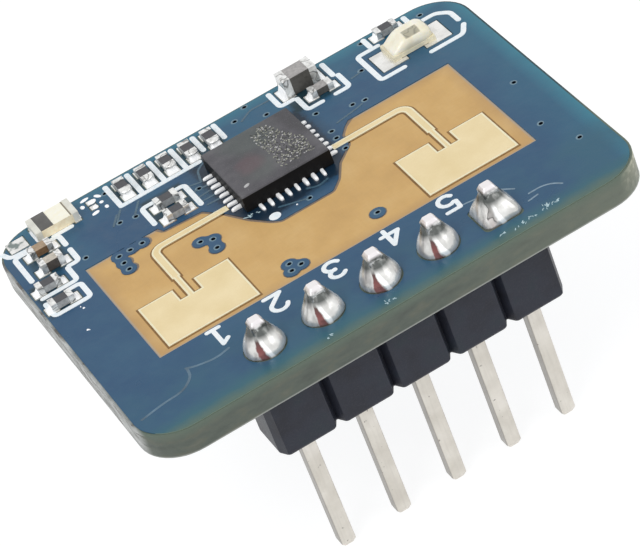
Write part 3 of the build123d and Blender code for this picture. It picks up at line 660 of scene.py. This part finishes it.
# Repeated pieces
def copies_tree():
    """One shape set on every place, turned and sized by the place, then made lumpy."""
    tree = bpy.data.node_groups.new("placed_copies", "GeometryNodeTree")
    for name, kind in (
        ("Places", "NodeSocketGeometry"),
        ("Shape", "NodeSocketObject"),
        ("Finish", "NodeSocketMaterial"),
        ("Lump depth", "NodeSocketFloat"),
        ("Lumps per metre", "NodeSocketFloat"),
        ("Seed", "NodeSocketFloat"),
    ):
        tree.interface.new_socket(name=name, in_out="INPUT", socket_type=kind)
    tree.interface.new_socket(name="Pieces", in_out="OUTPUT", socket_type="NodeSocketGeometry")

    def made(kind, inputs=None, **settings):
        return add_node(tree, kind, inputs, **settings)

    given = made("NodeGroupInput")
    shape = made("GeometryNodeObjectInfo", {"Object": given["Shape"]})["Geometry"]
    turn, size = [
        made("GeometryNodeInputNamedAttribute", {"Name": name}, data_type="FLOAT_VECTOR")["Attribute"]
        for name in ("turn", "size")
    ]
    spin = made("FunctionNodeEulerToRotation", {0: turn})[0]
    stood = {"Points": given["Places"], "Instance": shape, "Rotation": spin, "Scale": size}
    real = made("GeometryNodeRealizeInstances", {0: made("GeometryNodeInstanceOnPoints", stood)[0]})[0]
    grain = {"W": given["Seed"], "Scale": given["Lumps per metre"]}
    lumps = made("ShaderNodeTexNoise", grain, noise_dimensions="4D")["Color"]
    middle = made("ShaderNodeVectorMath", {0: lumps, 1: (0.5, 0.5, 0.5)}, operation="SUBTRACT")[0]
    push = made("ShaderNodeVectorMath", {0: middle, "Scale": given["Lump depth"]}, operation="SCALE")[0]
    shifted = made("GeometryNodeSetPosition", {"Geometry": real, "Offset": push})[0]
    painted = made("GeometryNodeSetMaterial", {"Geometry": shifted, "Material": given["Finish"]})[0]
    made("NodeGroupOutput", {"Pieces": painted})
    return tree


COPIES = copies_tree()


def copies(name, shape, places, finish, lump=0.0, seed=1.0, covers=()):
    """Copies of a shape; each place is (x, y, z, turn in degrees, (size along x, y, z))."""
    corners, faces = shape
    model_mesh = bpy.data.meshes.new(name + "_shape")
    model_mesh.from_pydata(corners, [], faces)
    model = put_in_scene(name + "_shape", model_mesh)
    dots = bpy.data.meshes.new(name + "_places")
    dots.from_pydata([tuple(value * MM for value in place[:3]) for place in places], [], [])
    turns = dots.attributes.new("turn", "FLOAT_VECTOR", "POINT")
    sizes = dots.attributes.new("size", "FLOAT_VECTOR", "POINT")
    for i, (_, _, _, turn, size) in enumerate(places):
        turns.data[i].vector = (0, 0, radians(turn))
        sizes.data[i].vector = [value * MM for value in size]
    holder = put_in_scene(name + "_places", dots)
    modifier = holder.modifiers.new("copies", "NODES")
    modifier.node_group = COPIES
    wanted = {
        "Shape": model,
        "Finish": finish,
        "Lump depth": lump * MM,
        "Lumps per metre": 4.0 / MM,
        "Seed": seed,
    }
    for item in COPIES.interface.items_tree:
        if item.in_out == "INPUT" and item.name in wanted:
            modifier[item.identifier] = wanted[item.name]
    shown = holder.evaluated_get(bpy.context.evaluated_depsgraph_get())
    mesh = bpy.data.meshes.new_from_object(shown)
    mesh.name = name
    for attribute in ("turn", "size"):
        if attribute in mesh.attributes:
            mesh.attributes.remove(mesh.attributes[attribute])
    for helper in (holder, model):
        bpy.data.objects.remove(helper)
    return kept(name, mesh, finish, covers=covers)


# Flat strokes and rims
def offset_path(points, side):
    """The path moved sideways by side, with mitred corners."""
    moved = []
    last = len(points) - 1
    for i, (x, y) in enumerate(points):
        before = points[max(i - 1, 0)]
        after = points[min(i + 1, last)]
        ways = []
        for start, stop in ((before, (x, y)), ((x, y), after)):
            length = hypot(stop[0] - start[0], stop[1] - start[1])
            if length > 1e-9:
                ways.append(((stop[0] - start[0]) / length, (stop[1] - start[1]) / length))
        nx = sum(-way[1] for way in ways) / len(ways)
        ny = sum(way[0] for way in ways) / len(ways)
        scale = side / max(nx * nx + ny * ny, 0.35)
        moved.append((x + nx * scale, y + ny * scale))
    return moved


def rounded(points, radius, steps):
    """The path with its inner corners rounded."""
    path = [points[0]]
    for before, corner, after in zip(points, points[1:], points[2:]):
        arms = []
        for other in (before, after):
            length = hypot(other[0] - corner[0], other[1] - corner[1])
            reach = min(radius, length * 0.45)
            arms.append(tuple(c + (o - c) * reach / length for c, o in zip(corner, other)))
        (ax, ay), (bx, by) = arms
        for i in range(steps + 1):
            t = i / steps
            near, mid, far = (1 - t) ** 2, 2 * t * (1 - t), t * t
            path.append((near * ax + mid * corner[0] + far * bx, near * ay + mid * corner[1] + far * by))
    path.append(points[-1])
    return path


def half_disc(centre, edge, turn_way):
    """Points of a stroke's round end, from edge round the centre."""
    (cx, cy), (sx, sy) = centre, edge
    start, radius = atan2(sy - cy, sx - cx), hypot(sx - cx, sy - cy)
    turns = [start + turn_way * pi * i / 6 for i in range(1, 6)]
    return [(cx + radius * cos(t), cy + radius * sin(t)) for t in turns]


def strip(points, width, low, high, corner, first):
    """Corners and faces of a flat round-ended stroke; first is the number of its first corner."""
    path = rounded(points, corner, 5) if len(points) > 2 else list(points)
    left, right = offset_path(path, width / 2), offset_path(path, -width / 2)
    start_cap = half_disc(path[0], right[0], -1)
    stop_cap = half_disc(path[-1], left[-1], -1)
    plan = left + stop_cap + right[::-1] + start_cap
    count, last = len(plan), len(left) - 1
    corners = [(x, y, z) for z in (low, high) for x, y in plan]
    low_ring = [first + i for i in range(count)]
    high_ring = [first + count + i for i in range(count)]
    faces = []
    for i in range(last):
        j = last + 1 + len(stop_cap) + (last - i)
        faces.append((high_ring[i], high_ring[j], high_ring[j - 1], high_ring[i + 1]))
        faces.append((low_ring[i + 1], low_ring[j - 1], low_ring[j], low_ring[i]))
    stop_end = list(range(last, last + len(stop_cap) + 2))
    start_end = list(range(count - len(start_cap) - 1, count)) + [0]
    for end in (stop_end, start_end):
        faces.append(tuple(high_ring[i] for i in reversed(end)))
        faces.append(tuple(low_ring[i] for i in end))
    return corners, faces + band(first + count, first, count)


def strokes(name, lines, width, low, thick, finish, slot, covers=(), corner=0.19, rest=()):
    """Flat strokes in one piece, with outlines filled; neighbouring strokes' tops lie a hair apart."""
    hair = 0.00008
    corners, faces = [], []
    for number, line in enumerate(lines):
        top = low + thick - number % 12 * hair
        more_corners, more_faces = strip(line, width, low, top, corner, len(corners))
        corners += more_corners
        faces += more_faces
    for outline in rest:
        first, count = len(corners), len(outline)
        corners += [(x, y, z) for z in (low, low + thick) for x, y in outline]
        faces.append(tuple(first + count + i for i in range(count)))
        faces.append(tuple(first + i for i in reversed(range(count))))
        faces += band(first, first + count, count)
    return piece(name, corners, faces, finish, slot, smooth=False, covers=covers)


def closed_band(outline, near, far, low, high):
    """A flat closed band round an outline, between two offsets from it."""
    loop = outline + outline[:2]
    inner = offset_path([outline[-1]] + loop, near)[1:-2]
    outer = offset_path([outline[-1]] + loop, far)[1:-2]
    count = len(outline)
    rings = ((inner, low), (outer, low), (outer, high), (inner, high))
    corners = [(x, y, z) for path, z in rings for x, y in path]
    faces = []
    for ring, after in neighbours(4):
        a, b = ring * count, after * count
        faces += [(a + i, b + i, b + n, a + n) for i, n in neighbours(count)]
    return corners, faces


def antenna_outline(side):
    """Outline of one patch and its feed, anticlockwise on the left and mirrored on the right."""
    middle, front, rear, feed_y = 5.815, 2.947, 5.947, 8.88
    half_patch, half_feed, half_inset, slot, bend = 2.01, 0.18, 0.125, 0.475, 0.24
    notch, step, feed_end = rear - 0.8, rear + 0.6, middle - 2.44
    wide = bend + 2 * half_feed
    bend_x, bend_y = half_feed + bend, feed_y - half_feed - bend
    inner, outer = [pi / 8 * k for k in range(5)], [pi / 12 * k for k in range(6, -1, -1)]
    path = [(-half_patch, front), (half_patch, front), (half_patch, rear), (slot, rear), (slot, notch)]
    path += [(half_inset, notch), (half_inset, step), (half_feed, step)]
    path += [(bend_x - bend * cos(a), bend_y + bend * sin(a)) for a in inner]
    path += [(feed_end, feed_y - half_feed), (feed_end, feed_y + half_feed)]
    path += [(bend_x - wide * cos(a), bend_y + wide * sin(a)) for a in outer]
    path += [(-half_feed, step), (-half_inset, step), (-half_inset, notch), (-slot, notch)]
    path += [(-slot, rear), (-half_patch, rear)]
    shift = -0.043
    if side < 0:
        return [(x - middle + shift, y) for x, y in path]
    return [(middle + shift - x, y) for x, y in path[::-1]]


# Round each patch: a painted highlight along its edge, and outside it a dark brown line that is partly the
# etched gap and partly painted shadow
for side, label in ((-1, "left"), (1, "right")):
    outline = antenna_outline(side)
    piece(f"antenna_rim_{label}", *closed_band(outline, 0.075, 0.0, LAND_TOP - 0.01, LAND_TOP + 0.004),
          gold_edge_highlight, "gold_plating", smooth=False)
    piece(f"etched_line_{label}", *closed_band(outline, 0.0, -0.08, BOARD_TOP - 0.01, BOARD_TOP + 0.004),
          etch_shadow_line, "laminate", smooth=False)


# Header joints
def joint_rings(x, square, seed):
    """Rings of one solder joint, from the land up to where it meets the pin."""
    levels = ((0.0, 0.80), (0.08, 0.83), (0.22, 0.82), (0.38, 0.77), (0.54, 0.69), (0.70, 0.60), (0.86, 0.51),
              (1.0, 0.44), (1.1, 0.38), (1.16, 0.30))
    height = levels[-1][0]
    around = 48
    luck = random.Random(seed)
    waves = [(k, luck.uniform(-1, 1), luck.uniform(0, tau)) for k in (2, 3, 5)]
    groove = radians(-119 + luck.uniform(-3, 3))
    corners = []
    for z, radius in levels:
        share = z / height
        for i in range(around):
            turn = tau * i / around
            r = radius
            for k, strength, phase in waves:
                r += 0.014 * strength * sin(k * turn + phase + 2.2 * share) * (1 - share * 0.6)
            gap = (turn - groove + 0.4 * share + pi) % tau - pi
            r -= 0.15 * (1 - share) ** 0.5 * share ** 0.3 * pow(2.718, -((gap / 0.30) ** 2))
            if square:
                corner = 1 / max(abs(cos(turn)), abs(sin(turn)))
                r *= 1 + (min(corner, 1.27) - 1) * (1 - share) ** 1.2
            corners.append((x + r * cos(turn), r * sin(turn), BOARD_TOP - 0.005 + z))
    rings = len(levels)
    faces = []
    for ring in range(rings - 1):
        faces += band(ring * around, (ring + 1) * around, around)
    faces.append(tuple((rings - 1) * around + i for i in range(around)))
    faces.append(tuple(i for i in reversed(range(around))))
    return corners, faces


for number, x in enumerate(PINS, start=1):
    piece(f"solder_joint_{number}", *joint_rings(x, number == 5, 20 + number), FINISHES["solder"], "solder",
          covers=(f"header_joint_{number}",))


# Printed lines: outlines round the parts, and plain numbers beside the pins
print_lines = [
    [(-5.61, 12.57), (-1.98, 12.57)],
    [(-5.61, 12.57), (-5.61, 14.28)],
    [(-4.59, 12.57), (-4.59, 14.3)],
    [(-3.56, 12.72), (-3.56, 14.3)],
    [(-2.54, 12.62), (-2.54, 14.3)],
    [(-1.51, 13.15), (-1.51, 14.3)],
    [(-0.49, 13.2), (-0.49, 14.35)],
    [(-5.08, 10.35), (-5.08, 11.7), (-4.48, 11.7)],
    [(-3.6, 11.7), (-3.12, 11.7), (-3.12, 9.98)],
    [(2.72, 13.13), (2.11, 13.13), (2.11, 14.3)],
    [(4.67, 13.25), (4.67, 14.3)],
    [(3.53, 12.0), (2.85, 12.0), (2.85, 13.05)],
    [(4.18, 12.0), (4.83, 12.0), (4.83, 13.1)],
    [(7.04, 11.25), (5.95, 11.25), (5.95, 13.5), (6.94, 13.5)],
    [(9.04, 13.5), (9.69, 13.5), (10.18, 13.05), (10.18, 12.28)],
    [(10.18, 11.83), (9.85, 11.25), (8.34, 11.25)],
    [(6.68, 13.7), (6.68, 14.35)],
    [(8.62, 13.7), (8.62, 14.35)],
    [(-9.8, 13.0), (-10.36, 13.0), (-10.36, 11.95)],
    [(-8.65, 12.95), (-8.35, 12.95), (-8.35, 12.15)],
    [(-10.36, 11.88), (-10.36, 11.08)],
    [(-8.35, 11.73), (-8.35, 10.78), (-8.8, 10.78)],
    [(-10.46, 9.69), (-8.9, 9.69), (-8.9, 10.7)],
    [(-9.46, 9.39), (-8.9, 9.39), (-8.9, 8.29), (-10.51, 8.29), (-10.51, 9.27)],
    [(-8.5, 13.07), (-7.7, 13.07)],
    [(-10.62, 13.68), (-10.45, 13.22), (-9.8, 13.15)],
]
chip_dot = [(-1.28 + 0.25 * cos(tau * i / 28), 6.8 + 0.23 * sin(tau * i / 28)) for i in range(28)]
strokes("printed_lines", print_lines, 0.23, MASK_TOP, 0.02, FINISHES["white_print"], "white_print",
        covers=("board_print",), rest=[chip_dot])


def arc(cx, cy, rx, ry, start, stop, steps=10):
    """Points of an arc; angles in degrees."""
    turns = [radians(start + (stop - start) * i / steps) for i in range(steps + 1)]
    return [(cx + rx * cos(t), cy + ry * sin(t)) for t in turns]


NUMERALS = {
    1: [[(-0.2, 0.3), (0.06, 0.5)], [(0.06, 0.5), (0.06, -0.5)], [(-0.18, -0.5), (0.28, -0.5)]],
    2: [arc(0, 0.2, 0.3, 0.3, 165, -30) + [(-0.3, -0.5)], [(-0.3, -0.5), (0.32, -0.5)]],
    3: [arc(0, 0.25, 0.28, 0.25, 150, -90, 9), arc(0, -0.24, 0.31, 0.27, 90, -155, 10)],
    4: [[(0.12, -0.5), (0.12, 0.5)], [(0.12, 0.5), (-0.33, -0.2)], [(-0.33, -0.2), (0.34, -0.2)]],
    5: [[(0.28, 0.5), (-0.24, 0.5)], [(-0.24, 0.5), (-0.27, 0.06)], arc(0, -0.19, 0.3, 0.31, 130, -150, 10)],
}
beside_pin, behind_pin, numeral_width, numeral_height = 1.05, 1.93, 1.1, 1.06
number_lines = []
for number, x in enumerate(PINS, start=1):
    for line in NUMERALS[number]:
        number_lines.append(
            [(x - beside_pin - px * numeral_width, behind_pin - py * numeral_height) for px, py in line]
        )
strokes("pin_numbers", number_lines, 0.19, MASK_TOP, 0.02, FINISHES["white_print"], "white_print",
        corner=0.02)

# Vias, bare tinned dots, toes and fillets
VIAS = [
    (9.64, 6.63), (9.06, 3.42), (9.69, 1.43), (4.31, 10.78), (4.83, 10.64), (2.95, 11.49), (1.45, 13.17),
    (1.0, 14.41), (0.27, 13.85), (2.87, 9.89), (2.81, 9.33), (2.77, 8.43), (-2.76, 10.99), (-5.45, 11.47),
    (-6.11, 11.64), (-8.09, 10.7), (0.25, 6.73), (9.2, 13.95), (-5.78, 13.95), (6.5, 14.25), (5.65, 12.55),
    (-7.04, 9.65), (-6.53, 9.67), (-5.98, 9.68), (-7.06, 9.11), (-7.06, 8.59), (-4.21, 7.80), (-3.75, 7.55),
    (-3.86, 6.93), (-2.21, 3.68), (-1.86, 3.31), (-2.32, 3.23), (1.78, 3.72),
]
rims = [(x, y, MASK_TOP - 0.004, chance.uniform(0, 360), (0.17, 0.15, 0.012)) for x, y in VIAS]
hole_size = (0.11, 0.105, 0.016)
# Each via hole is a black disc of painted shadow
holes = [(x + 0.02, y - 0.02, MASK_TOP - 0.002, chance.uniform(0, 360), hole_size) for x, y in VIAS]
copies("via_rims", ring_disc(), rims, via_rim)
copies("via_holes", dome(12, 2), holes, via_hole)

TINNED_DOTS = [
    (-6.4, 13.9, 0.2, 0.16, 20), (-6.42, 13.45, 0.13, 0.14, 0), (-6.6, 14.25, 0.22, 0.1, 10),
    (-6.57, 13.07, 0.19, 0.11, 15), (-6.07, 14.05, 0.09, 0.2, 35), (-6.05, 13.1, 0.09, 0.13, 0),
    (-6.1, 13.55, 0.1, 0.1, 0), (-6.85, 13.85, 0.1, 0.14, 0), (-9.43, 7.83, 0.06, 0.05, 0),
    (-9.86, 6.46, 0.06, 0.05, 0), (-9.8, 6.4, 0.03, 0.03, 0), (-9.5, 8.0, 0.03, 0.03, 0),
    (4.0, 13.0, 0.05, 0.05, 0), (-3.0, 0.75, 0.06, 0.05, 0), (-0.3, 6.75, 0.05, 0.03, 0),
]
dots = [(x, y, MASK_TOP - 0.012, turn, (long, wide, 0.045)) for x, y, long, wide, turn in TINNED_DOTS]
copies("tinned_dots", dome(), dots, bright_tin, lump=0.03)


def chip_toes(count, pitch):
    """Places of the soldered toes round the radar chip, count of them on each side."""
    out = CHIP_HALF + 0.15
    places = []
    for turn in range(0, 360, 90):
        a = radians(turn)
        for i in range(count):
            along = (i - (count - 1) / 2) * pitch
            x, y = out * cos(a) - along * sin(a), CHIP_Y + out * sin(a) + along * cos(a)
            size = (chance.uniform(0.26, 0.30), chance.uniform(0.072, 0.088), chance.uniform(0.12, 0.16))
            places.append((x, y, MASK_TOP - 0.01, turn + chance.uniform(-4, 4), size))
    return places


copies("radar_chip_toes", dome(16, 7, 0.55), chip_toes(8, 0.4), bright_tin, lump=0.025,
       covers=("radar_chip_leads",))

half_part = 0.49
fillets = []
for (x, y), turn in [(place, 90) for place in REAR_RESISTORS] + [(place, 0) for place in SMALL_PARTS]:
    for way in (turn, turn + 180):
        a = radians(way)
        size = (chance.uniform(0.2, 0.25), chance.uniform(0.46, 0.54), chance.uniform(0.2, 0.3))
        fillets.append((x + half_part * cos(a), y + half_part * sin(a), LAND_TOP - 0.006, way, size))
for node, half_length, sunk, size in (
    ("bulk_capacitor", 0.77, 0.006, (0.25, 0.84, 0.5)),
    ("chip_antenna", 0.955, 0.03, (0.1, 0.9, 0.2)),
):
    x, y = middle_of(node)
    for way, side in ((0, 1), (180, -1)):
        fillets.append((x + half_length * side, y, LAND_TOP - sunk, way, size))
copies("solder_fillets", wedge(), fillets, bright_tin, lump=0.06, seed=3.0)

# Lumpy solder on the front ends of the rear resistors
caps = [(x, y - 0.44, LAND_TOP + 0.26, 0, (0.26, 0.2, 0.12)) for x, y in REAR_RESISTORS]
copies("resistor_solder_caps", dome(), caps, FINISHES["tinned_end"], lump=0.08, seed=5.0)

# Flecks and grooves in the radar chip's top, and its corner smudge
FLECK_FIELD = [
    (0.0, 11.2), (0.45, 11.5), (0.83, 11.47), (1.03, 10.92), (1.27, 10.17), (1.66, 9.55), (1.6, 8.37),
    (0.09, 8.41),
]


def inside(x, y, outline):
    """Whether x, y lies inside the outline."""
    hit = False
    for (ax, ay), (bx, by) in zip(outline, outline[1:] + outline[:1]):
        if (ay > y) != (by > y) and x < ax + (bx - ax) * (y - ay) / (by - ay):
            hit = not hit
    return hit


def curls(step, share, low, high):
    """Short bent lines strewn evenly over the fleck field."""
    field_length, field_width, field_front = 1.75, 3.3, 8.35
    lines = []
    for i in range(int(field_length / step)):
        for j in range(int(field_width / step)):
            x = step * (i + chance.uniform(0.1, 0.9))
            y = field_front + step * (j + chance.uniform(0.1, 0.9))
            if chance.random() > share or not inside(x, y, FLECK_FIELD):
                continue
            way = radians(chance.choice((-60, 20, 70)) + chance.uniform(-30, 30))
            reach = chance.uniform(low, high)
            turned = way + chance.uniform(-0.8, 0.8)
            middle = (x + reach * cos(way), y + reach * sin(way))
            lines.append([(x, y), middle, (middle[0] + reach * cos(turned), middle[1] + reach * sin(turned))])
    return lines


for name, lines, width, thick, finish, corner in (
    ("chip_grooves", curls(0.17, 0.8, 0.04, 0.08), 0.045, 0.0072, chip_groove, 0.03),
    ("chip_flecks", curls(0.145, 0.8, 0.02, 0.05), 0.042, 0.0086, chip_fleck, 0.03),
    ("chip_bright_flecks", curls(0.2, 0.5, 0.012, 0.03), 0.05, 0.0095, chip_smudge, 0.02),
):
    strokes(name, lines, width, CHIP_TOP - 0.005, thick, finish, "chip_epoxy", corner=corner)
smudges = [
    (-1.48, 8.48, CHIP_TOP - 0.002, 25, (0.15, 0.09, 0.008)),
    (-1.57, 8.14, CHIP_TOP - 0.002, 0, (0.06, 0.04, 0.006)),
]
copies("chip_corner_mark", dome(12, 3), smudges, chip_smudge, lump=0.03)

# Soft shade of the mask's edge round the tongue and the islands
tongue_edge = [
    (-5.2, 10.08), (-5.0, 9.68), (-3.3, 9.53), (-2.7, 8.68), (-2.1, 7.48), (-1.5, 6.63), (-1.2, 6.38),
    (1.15, 6.38), (1.65, 6.88), (2.15, 7.78), (3.0, 8.58), (3.05, 9.28), (3.4, 9.73), (3.9, 10.1),
]
ISLANDS = [
    [(-5.935, 9.69), (-6.475, 9.69), (-7.005, 9.67), (-7.015, 9.12), (-7.015, 8.6)],
    [(-4.21, 7.8), (-3.75, 7.55), (-3.86, 6.93)],
    [(-2.21, 3.657), (-1.86, 3.287), (-2.32, 3.207)],
    [(1.78, 3.697)],
]
island_edges = [[(x, y), (x + 0.01, y)] for island in ISLANDS for x, y in island]
in_board, in_mask = BOARD_TOP - 0.01, MASK_TOP - 0.01
strokes("tongue_edge_shade", [tongue_edge], 0.2, in_board, 0.014, mask_shade, "laminate", corner=0.12)
strokes("island_edge_shade", island_edges, 0.75, in_board, 0.0135, mask_shade, "laminate")

# Tracks that show through the mask, and dried flux round the header
track_lines = [
    [(-5.45, 11.55), (-4.95, 12.3)], [(-6.13, 11.8), (-5.74, 12.4)], [(-6.4, 11.6), (-6.0, 12.2)],
    [(-3.0, 11.45), (-2.5, 11.3)], [(-2.95, 10.95), (-2.45, 10.9)], [(-3.0, 10.45), (-2.45, 10.5)],
    [(-3.02, 10.1), (-2.45, 10.1)], [(-2.95, 9.72), (-2.45, 9.7)],
    [(-2.5, 11.3), (-2.3, 12.1), (-1.9, 12.4)],
    [(3.3, 10.2), (4.39, 10.41), (4.62, 10.5)], [(5.11, 12.4), (5.47, 12.45), (5.75, 12.5)],
    [(0.5, 13.6), (1.1, 14.0), (1.95, 13.95)],
    [(0.44, 7.35), (0.88, 7.1), (1.35, 7.25)], [(-0.9, 7.2), (-0.2, 6.9), (0.25, 6.73)],
]
strokes("masked_tracks", track_lines, 0.1, in_mask, 0.018, mask_ridge, "blue_mask", corner=0.2)
plane_edges = [
    [(-10.45, -0.11), (-9.38, 0.11), (-8.56, 0.14), (-7.98, 0.66), (-7.9, 1.2)],
    [(-7.93, 1.26), (-7.59, 1.07), (-6.79, 0.87), (-6.17, 1.03)],
]
strokes("plane_edge_line", plane_edges, 0.11, in_mask, 0.014, faint_film, "blue_mask", corner=0.5)
arcs = [
    [(6.55, -0.03), (7.1, -0.02), (7.5, -0.2), (7.78, -0.52)], [(6.33, -0.42), (6.77, -0.35)],
    [(5.77, 1.2), (6.3, 0.67)], [(4.0, 1.31), (4.32, 1.44), (4.91, 1.33)],
]
strokes("flux_arcs", arcs, 0.075, in_mask, 0.016, flux_film, "blue_mask", corner=0.3)
CRUMB_HEAPS = (
    (5.97, -1.36), (6.53, -1.25), (7.0, -1.28), (5.4, -1.42), (4.7, -1.35), (6.7, -1.15), (-0.41, -1.4),
    (-2.95, -1.4), (-1.78, 7.60), (-2.02, 7.68),
)
specks = [
    (x + chance.gauss(0, 0.13), y + chance.gauss(0, 0.05), MASK_TOP - 0.004, chance.uniform(0, 180),
     (chance.uniform(0.03, 0.09), chance.uniform(0.015, 0.035), 0.012))
    for x, y in CRUMB_HEAPS
    for _ in range(8)
]
copies("flux_specks", dome(8, 3), specks, flux_crumbs)


def sensor_dome():
    """Clear hump over the sensor's base: it slopes up from the left and drops steeply at the right end."""
    (left, front, _), (right, rear, foot) = box_mm("light_sensor_base")
    left, right = left + 0.07, right - 0.05
    middle_y, half_width, height = (front + rear) / 2, (rear - front) / 2 - 0.01, 0.575
    steps, around = 18, 16
    corners = []
    for i in range(steps + 1):
        u = i / steps
        x = left + (right - left) * u
        rise = min(1.0, 0.14 + 0.86 * sin(min(u / 0.46, 1.0) * pi / 2))
        rise *= 1 - 0.30 * max(0.0, (u - 0.80) / 0.20) ** 2
        half = half_width * (0.90 + 0.10 * min(u / 0.3, 1.0, (1 - u) / 0.1))
        for k in range(around + 1):
            t = pi * k / around
            y = half * abs(cos(t)) ** 0.62 * (1 if t < pi / 2 else -1)
            z = foot + height * rise * sin(t) ** 0.5 if 0 < k < around else foot
            corners.append((x, middle_y + y, z))
    row = around + 1
    faces = []
    for a in range(0, steps * row, row):
        faces += [(a + k, a + k + 1, a + row + k + 1, a + row + k) for k in range(around)]
        faces.append((a, a + row, a + row + around, a + around))
    faces.append(tuple(reversed(range(row))))
    faces.append(tuple(steps * row + k for k in range(row)))
    return corners, faces


piece("sensor_dome", *sensor_dome(), FINISHES["sensor_lens"], "sensor_lens", covers=("light_sensor_lens",))


# Softened edges on the modelled parts
def soften(names, width, segments=2):
    """Weld and round the edges of modelled parts by a width in millimetres."""
    for name in names:
        weld = nodes[name].modifiers.new("weld", "WELD")
        weld.merge_threshold = 0.000002
        bevel = nodes[name].modifiers.new("soft_edges", "BEVEL")
        bevel.width = width * MM
        bevel.segments = segments
        bevel.limit_method = "ANGLE"
        bevel.angle_limit = radians(32)
        bevel.harden_normals = True


soften(["header_housing"], 0.07, 3)
soften([f"header_pin_{i}" for i in range(1, 6)], 0.06, 3)
soften(["radar_chip", "controller_chip", "regulator"], 0.02)
soften(["bulk_capacitor_ends"], 0.06, 3)
soften(["chip_antenna_ends", "light_sensor_base", "light_sensor_ends"], 0.012)
soften(["crystal_can"], 0.04)
soften(["circuit_board"], 0.05)


# Stage
def seen_plainly(tree):
    """1 for rays from the camera, off a gloss or through clear matter, otherwise 0."""
    path = add_node(tree, "ShaderNodeLightPath")
    share = path["Is Camera Ray"]
    for kind in ("Is Glossy Ray", "Is Transmission Ray"):
        share = add_node(tree, "ShaderNodeMath", {0: share, 1: path[kind]}, operation="MAXIMUM")[0]
    return share


def show_mixed(tree, output, share, first, second):
    """Mix two shaders by a share and send them to the tree's output."""
    mixed = add_node(tree, "ShaderNodeMixShader", {0: share, 1: first, 2: second})[0]
    fill(tree.nodes[output], {"Surface": mixed})


def set_floor():
    """A plain pale floor that glows towards the camera and still takes the shadow."""
    half, low = 4.0, cad_box[0].z
    mesh = bpy.data.meshes.new("floor")
    corners = [(x * half, y * half, low) for x, y in ((-1, -1), (1, -1), (1, 1), (-1, 1))]
    mesh.from_pydata(corners, [], [(0, 1, 2, 3)])
    floor = put_in_scene("floor", mesh)
    paint = bpy.data.materials.new("pale_floor")
    paint.use_nodes = True
    mesh.materials.append(paint)
    tree = paint.node_tree
    shader = tree.nodes["Principled BSDF"]
    fill(shader, {"Base Color": (0.93, 0.93, 0.93), "Roughness": 0.9, "Specular IOR Level": 0.0})
    glow = add_node(tree, "ShaderNodeEmission", {"Strength": 1.2})[0]
    share = add_node(tree, "ShaderNodeMath", {0: seen_plainly(tree), 1: 0.72}, operation="MULTIPLY")[0]
    show_mixed(tree, "Material Output", share, shader.outputs[0], glow)


def set_room():
    """A soft pale room that looks white to the camera."""
    world = bpy.data.worlds.new("soft_room")
    bpy.context.scene.world = world
    world.use_nodes = True
    tree = world.node_tree
    room = tree.nodes["Background"]
    fill(room, {"Color": (0.80, 0.82, 0.85), "Strength": 0.72})
    white = add_node(tree, "ShaderNodeBackground", {"Color": (1, 1, 1)})[0]
    show_mixed(tree, "World Output", seen_plainly(tree), room.outputs[0], white)


def set_lights():
    """A key light from the left and behind the camera, and a weaker fill from the right."""
    middle = (cad_box[0] + cad_box[1]) / 2
    for name, place, size, power in (
        ("key_light", (-0.16, -0.12, 0.26), 0.16, 0.32),
        ("fill_light", (0.22, -0.22, 0.16), 0.2, 0.14),
    ):
        data = bpy.data.lights.new(name, "AREA")
        data.size = size
        data.energy = power
        lamp = put_in_scene(name, data)
        lamp.location = place
        lamp.rotation_euler = (middle - Vector(place)).to_track_quat("-Z", "Y").to_euler()


def set_camera():
    """The camera as fitted to the photograph: azimuth, elevation and roll in degrees."""
    azimuth, elevation, roll = radians(-103.506), radians(36.407), radians(-21.958)
    back = Vector((cos(elevation) * cos(azimuth), cos(elevation) * sin(azimuth), sin(elevation)))
    right = (-back).cross(Vector((0, 0, 1))).normalized()
    up = right.cross(-back)
    across = cos(roll) * right + sin(roll) * up
    rise = cos(roll) * up - sin(roll) * right
    data = bpy.data.cameras.new("camera")
    data.sensor_width = 36.0
    data.sensor_fit = "HORIZONTAL"
    data.lens = 196.78
    data.clip_start = 0.005
    data.clip_end = 20.0
    camera = put_in_scene("camera", data)
    turned = Matrix((across, rise, back)).transposed().to_4x4()
    camera.matrix_world = Matrix.Translation((-0.026404, -0.101186, 0.082616)) @ turned
    bpy.context.scene.camera = camera


set_floor()
set_room()
set_lights()
set_camera()
bpy.context.scene.view_settings.view_transform = "Standard"
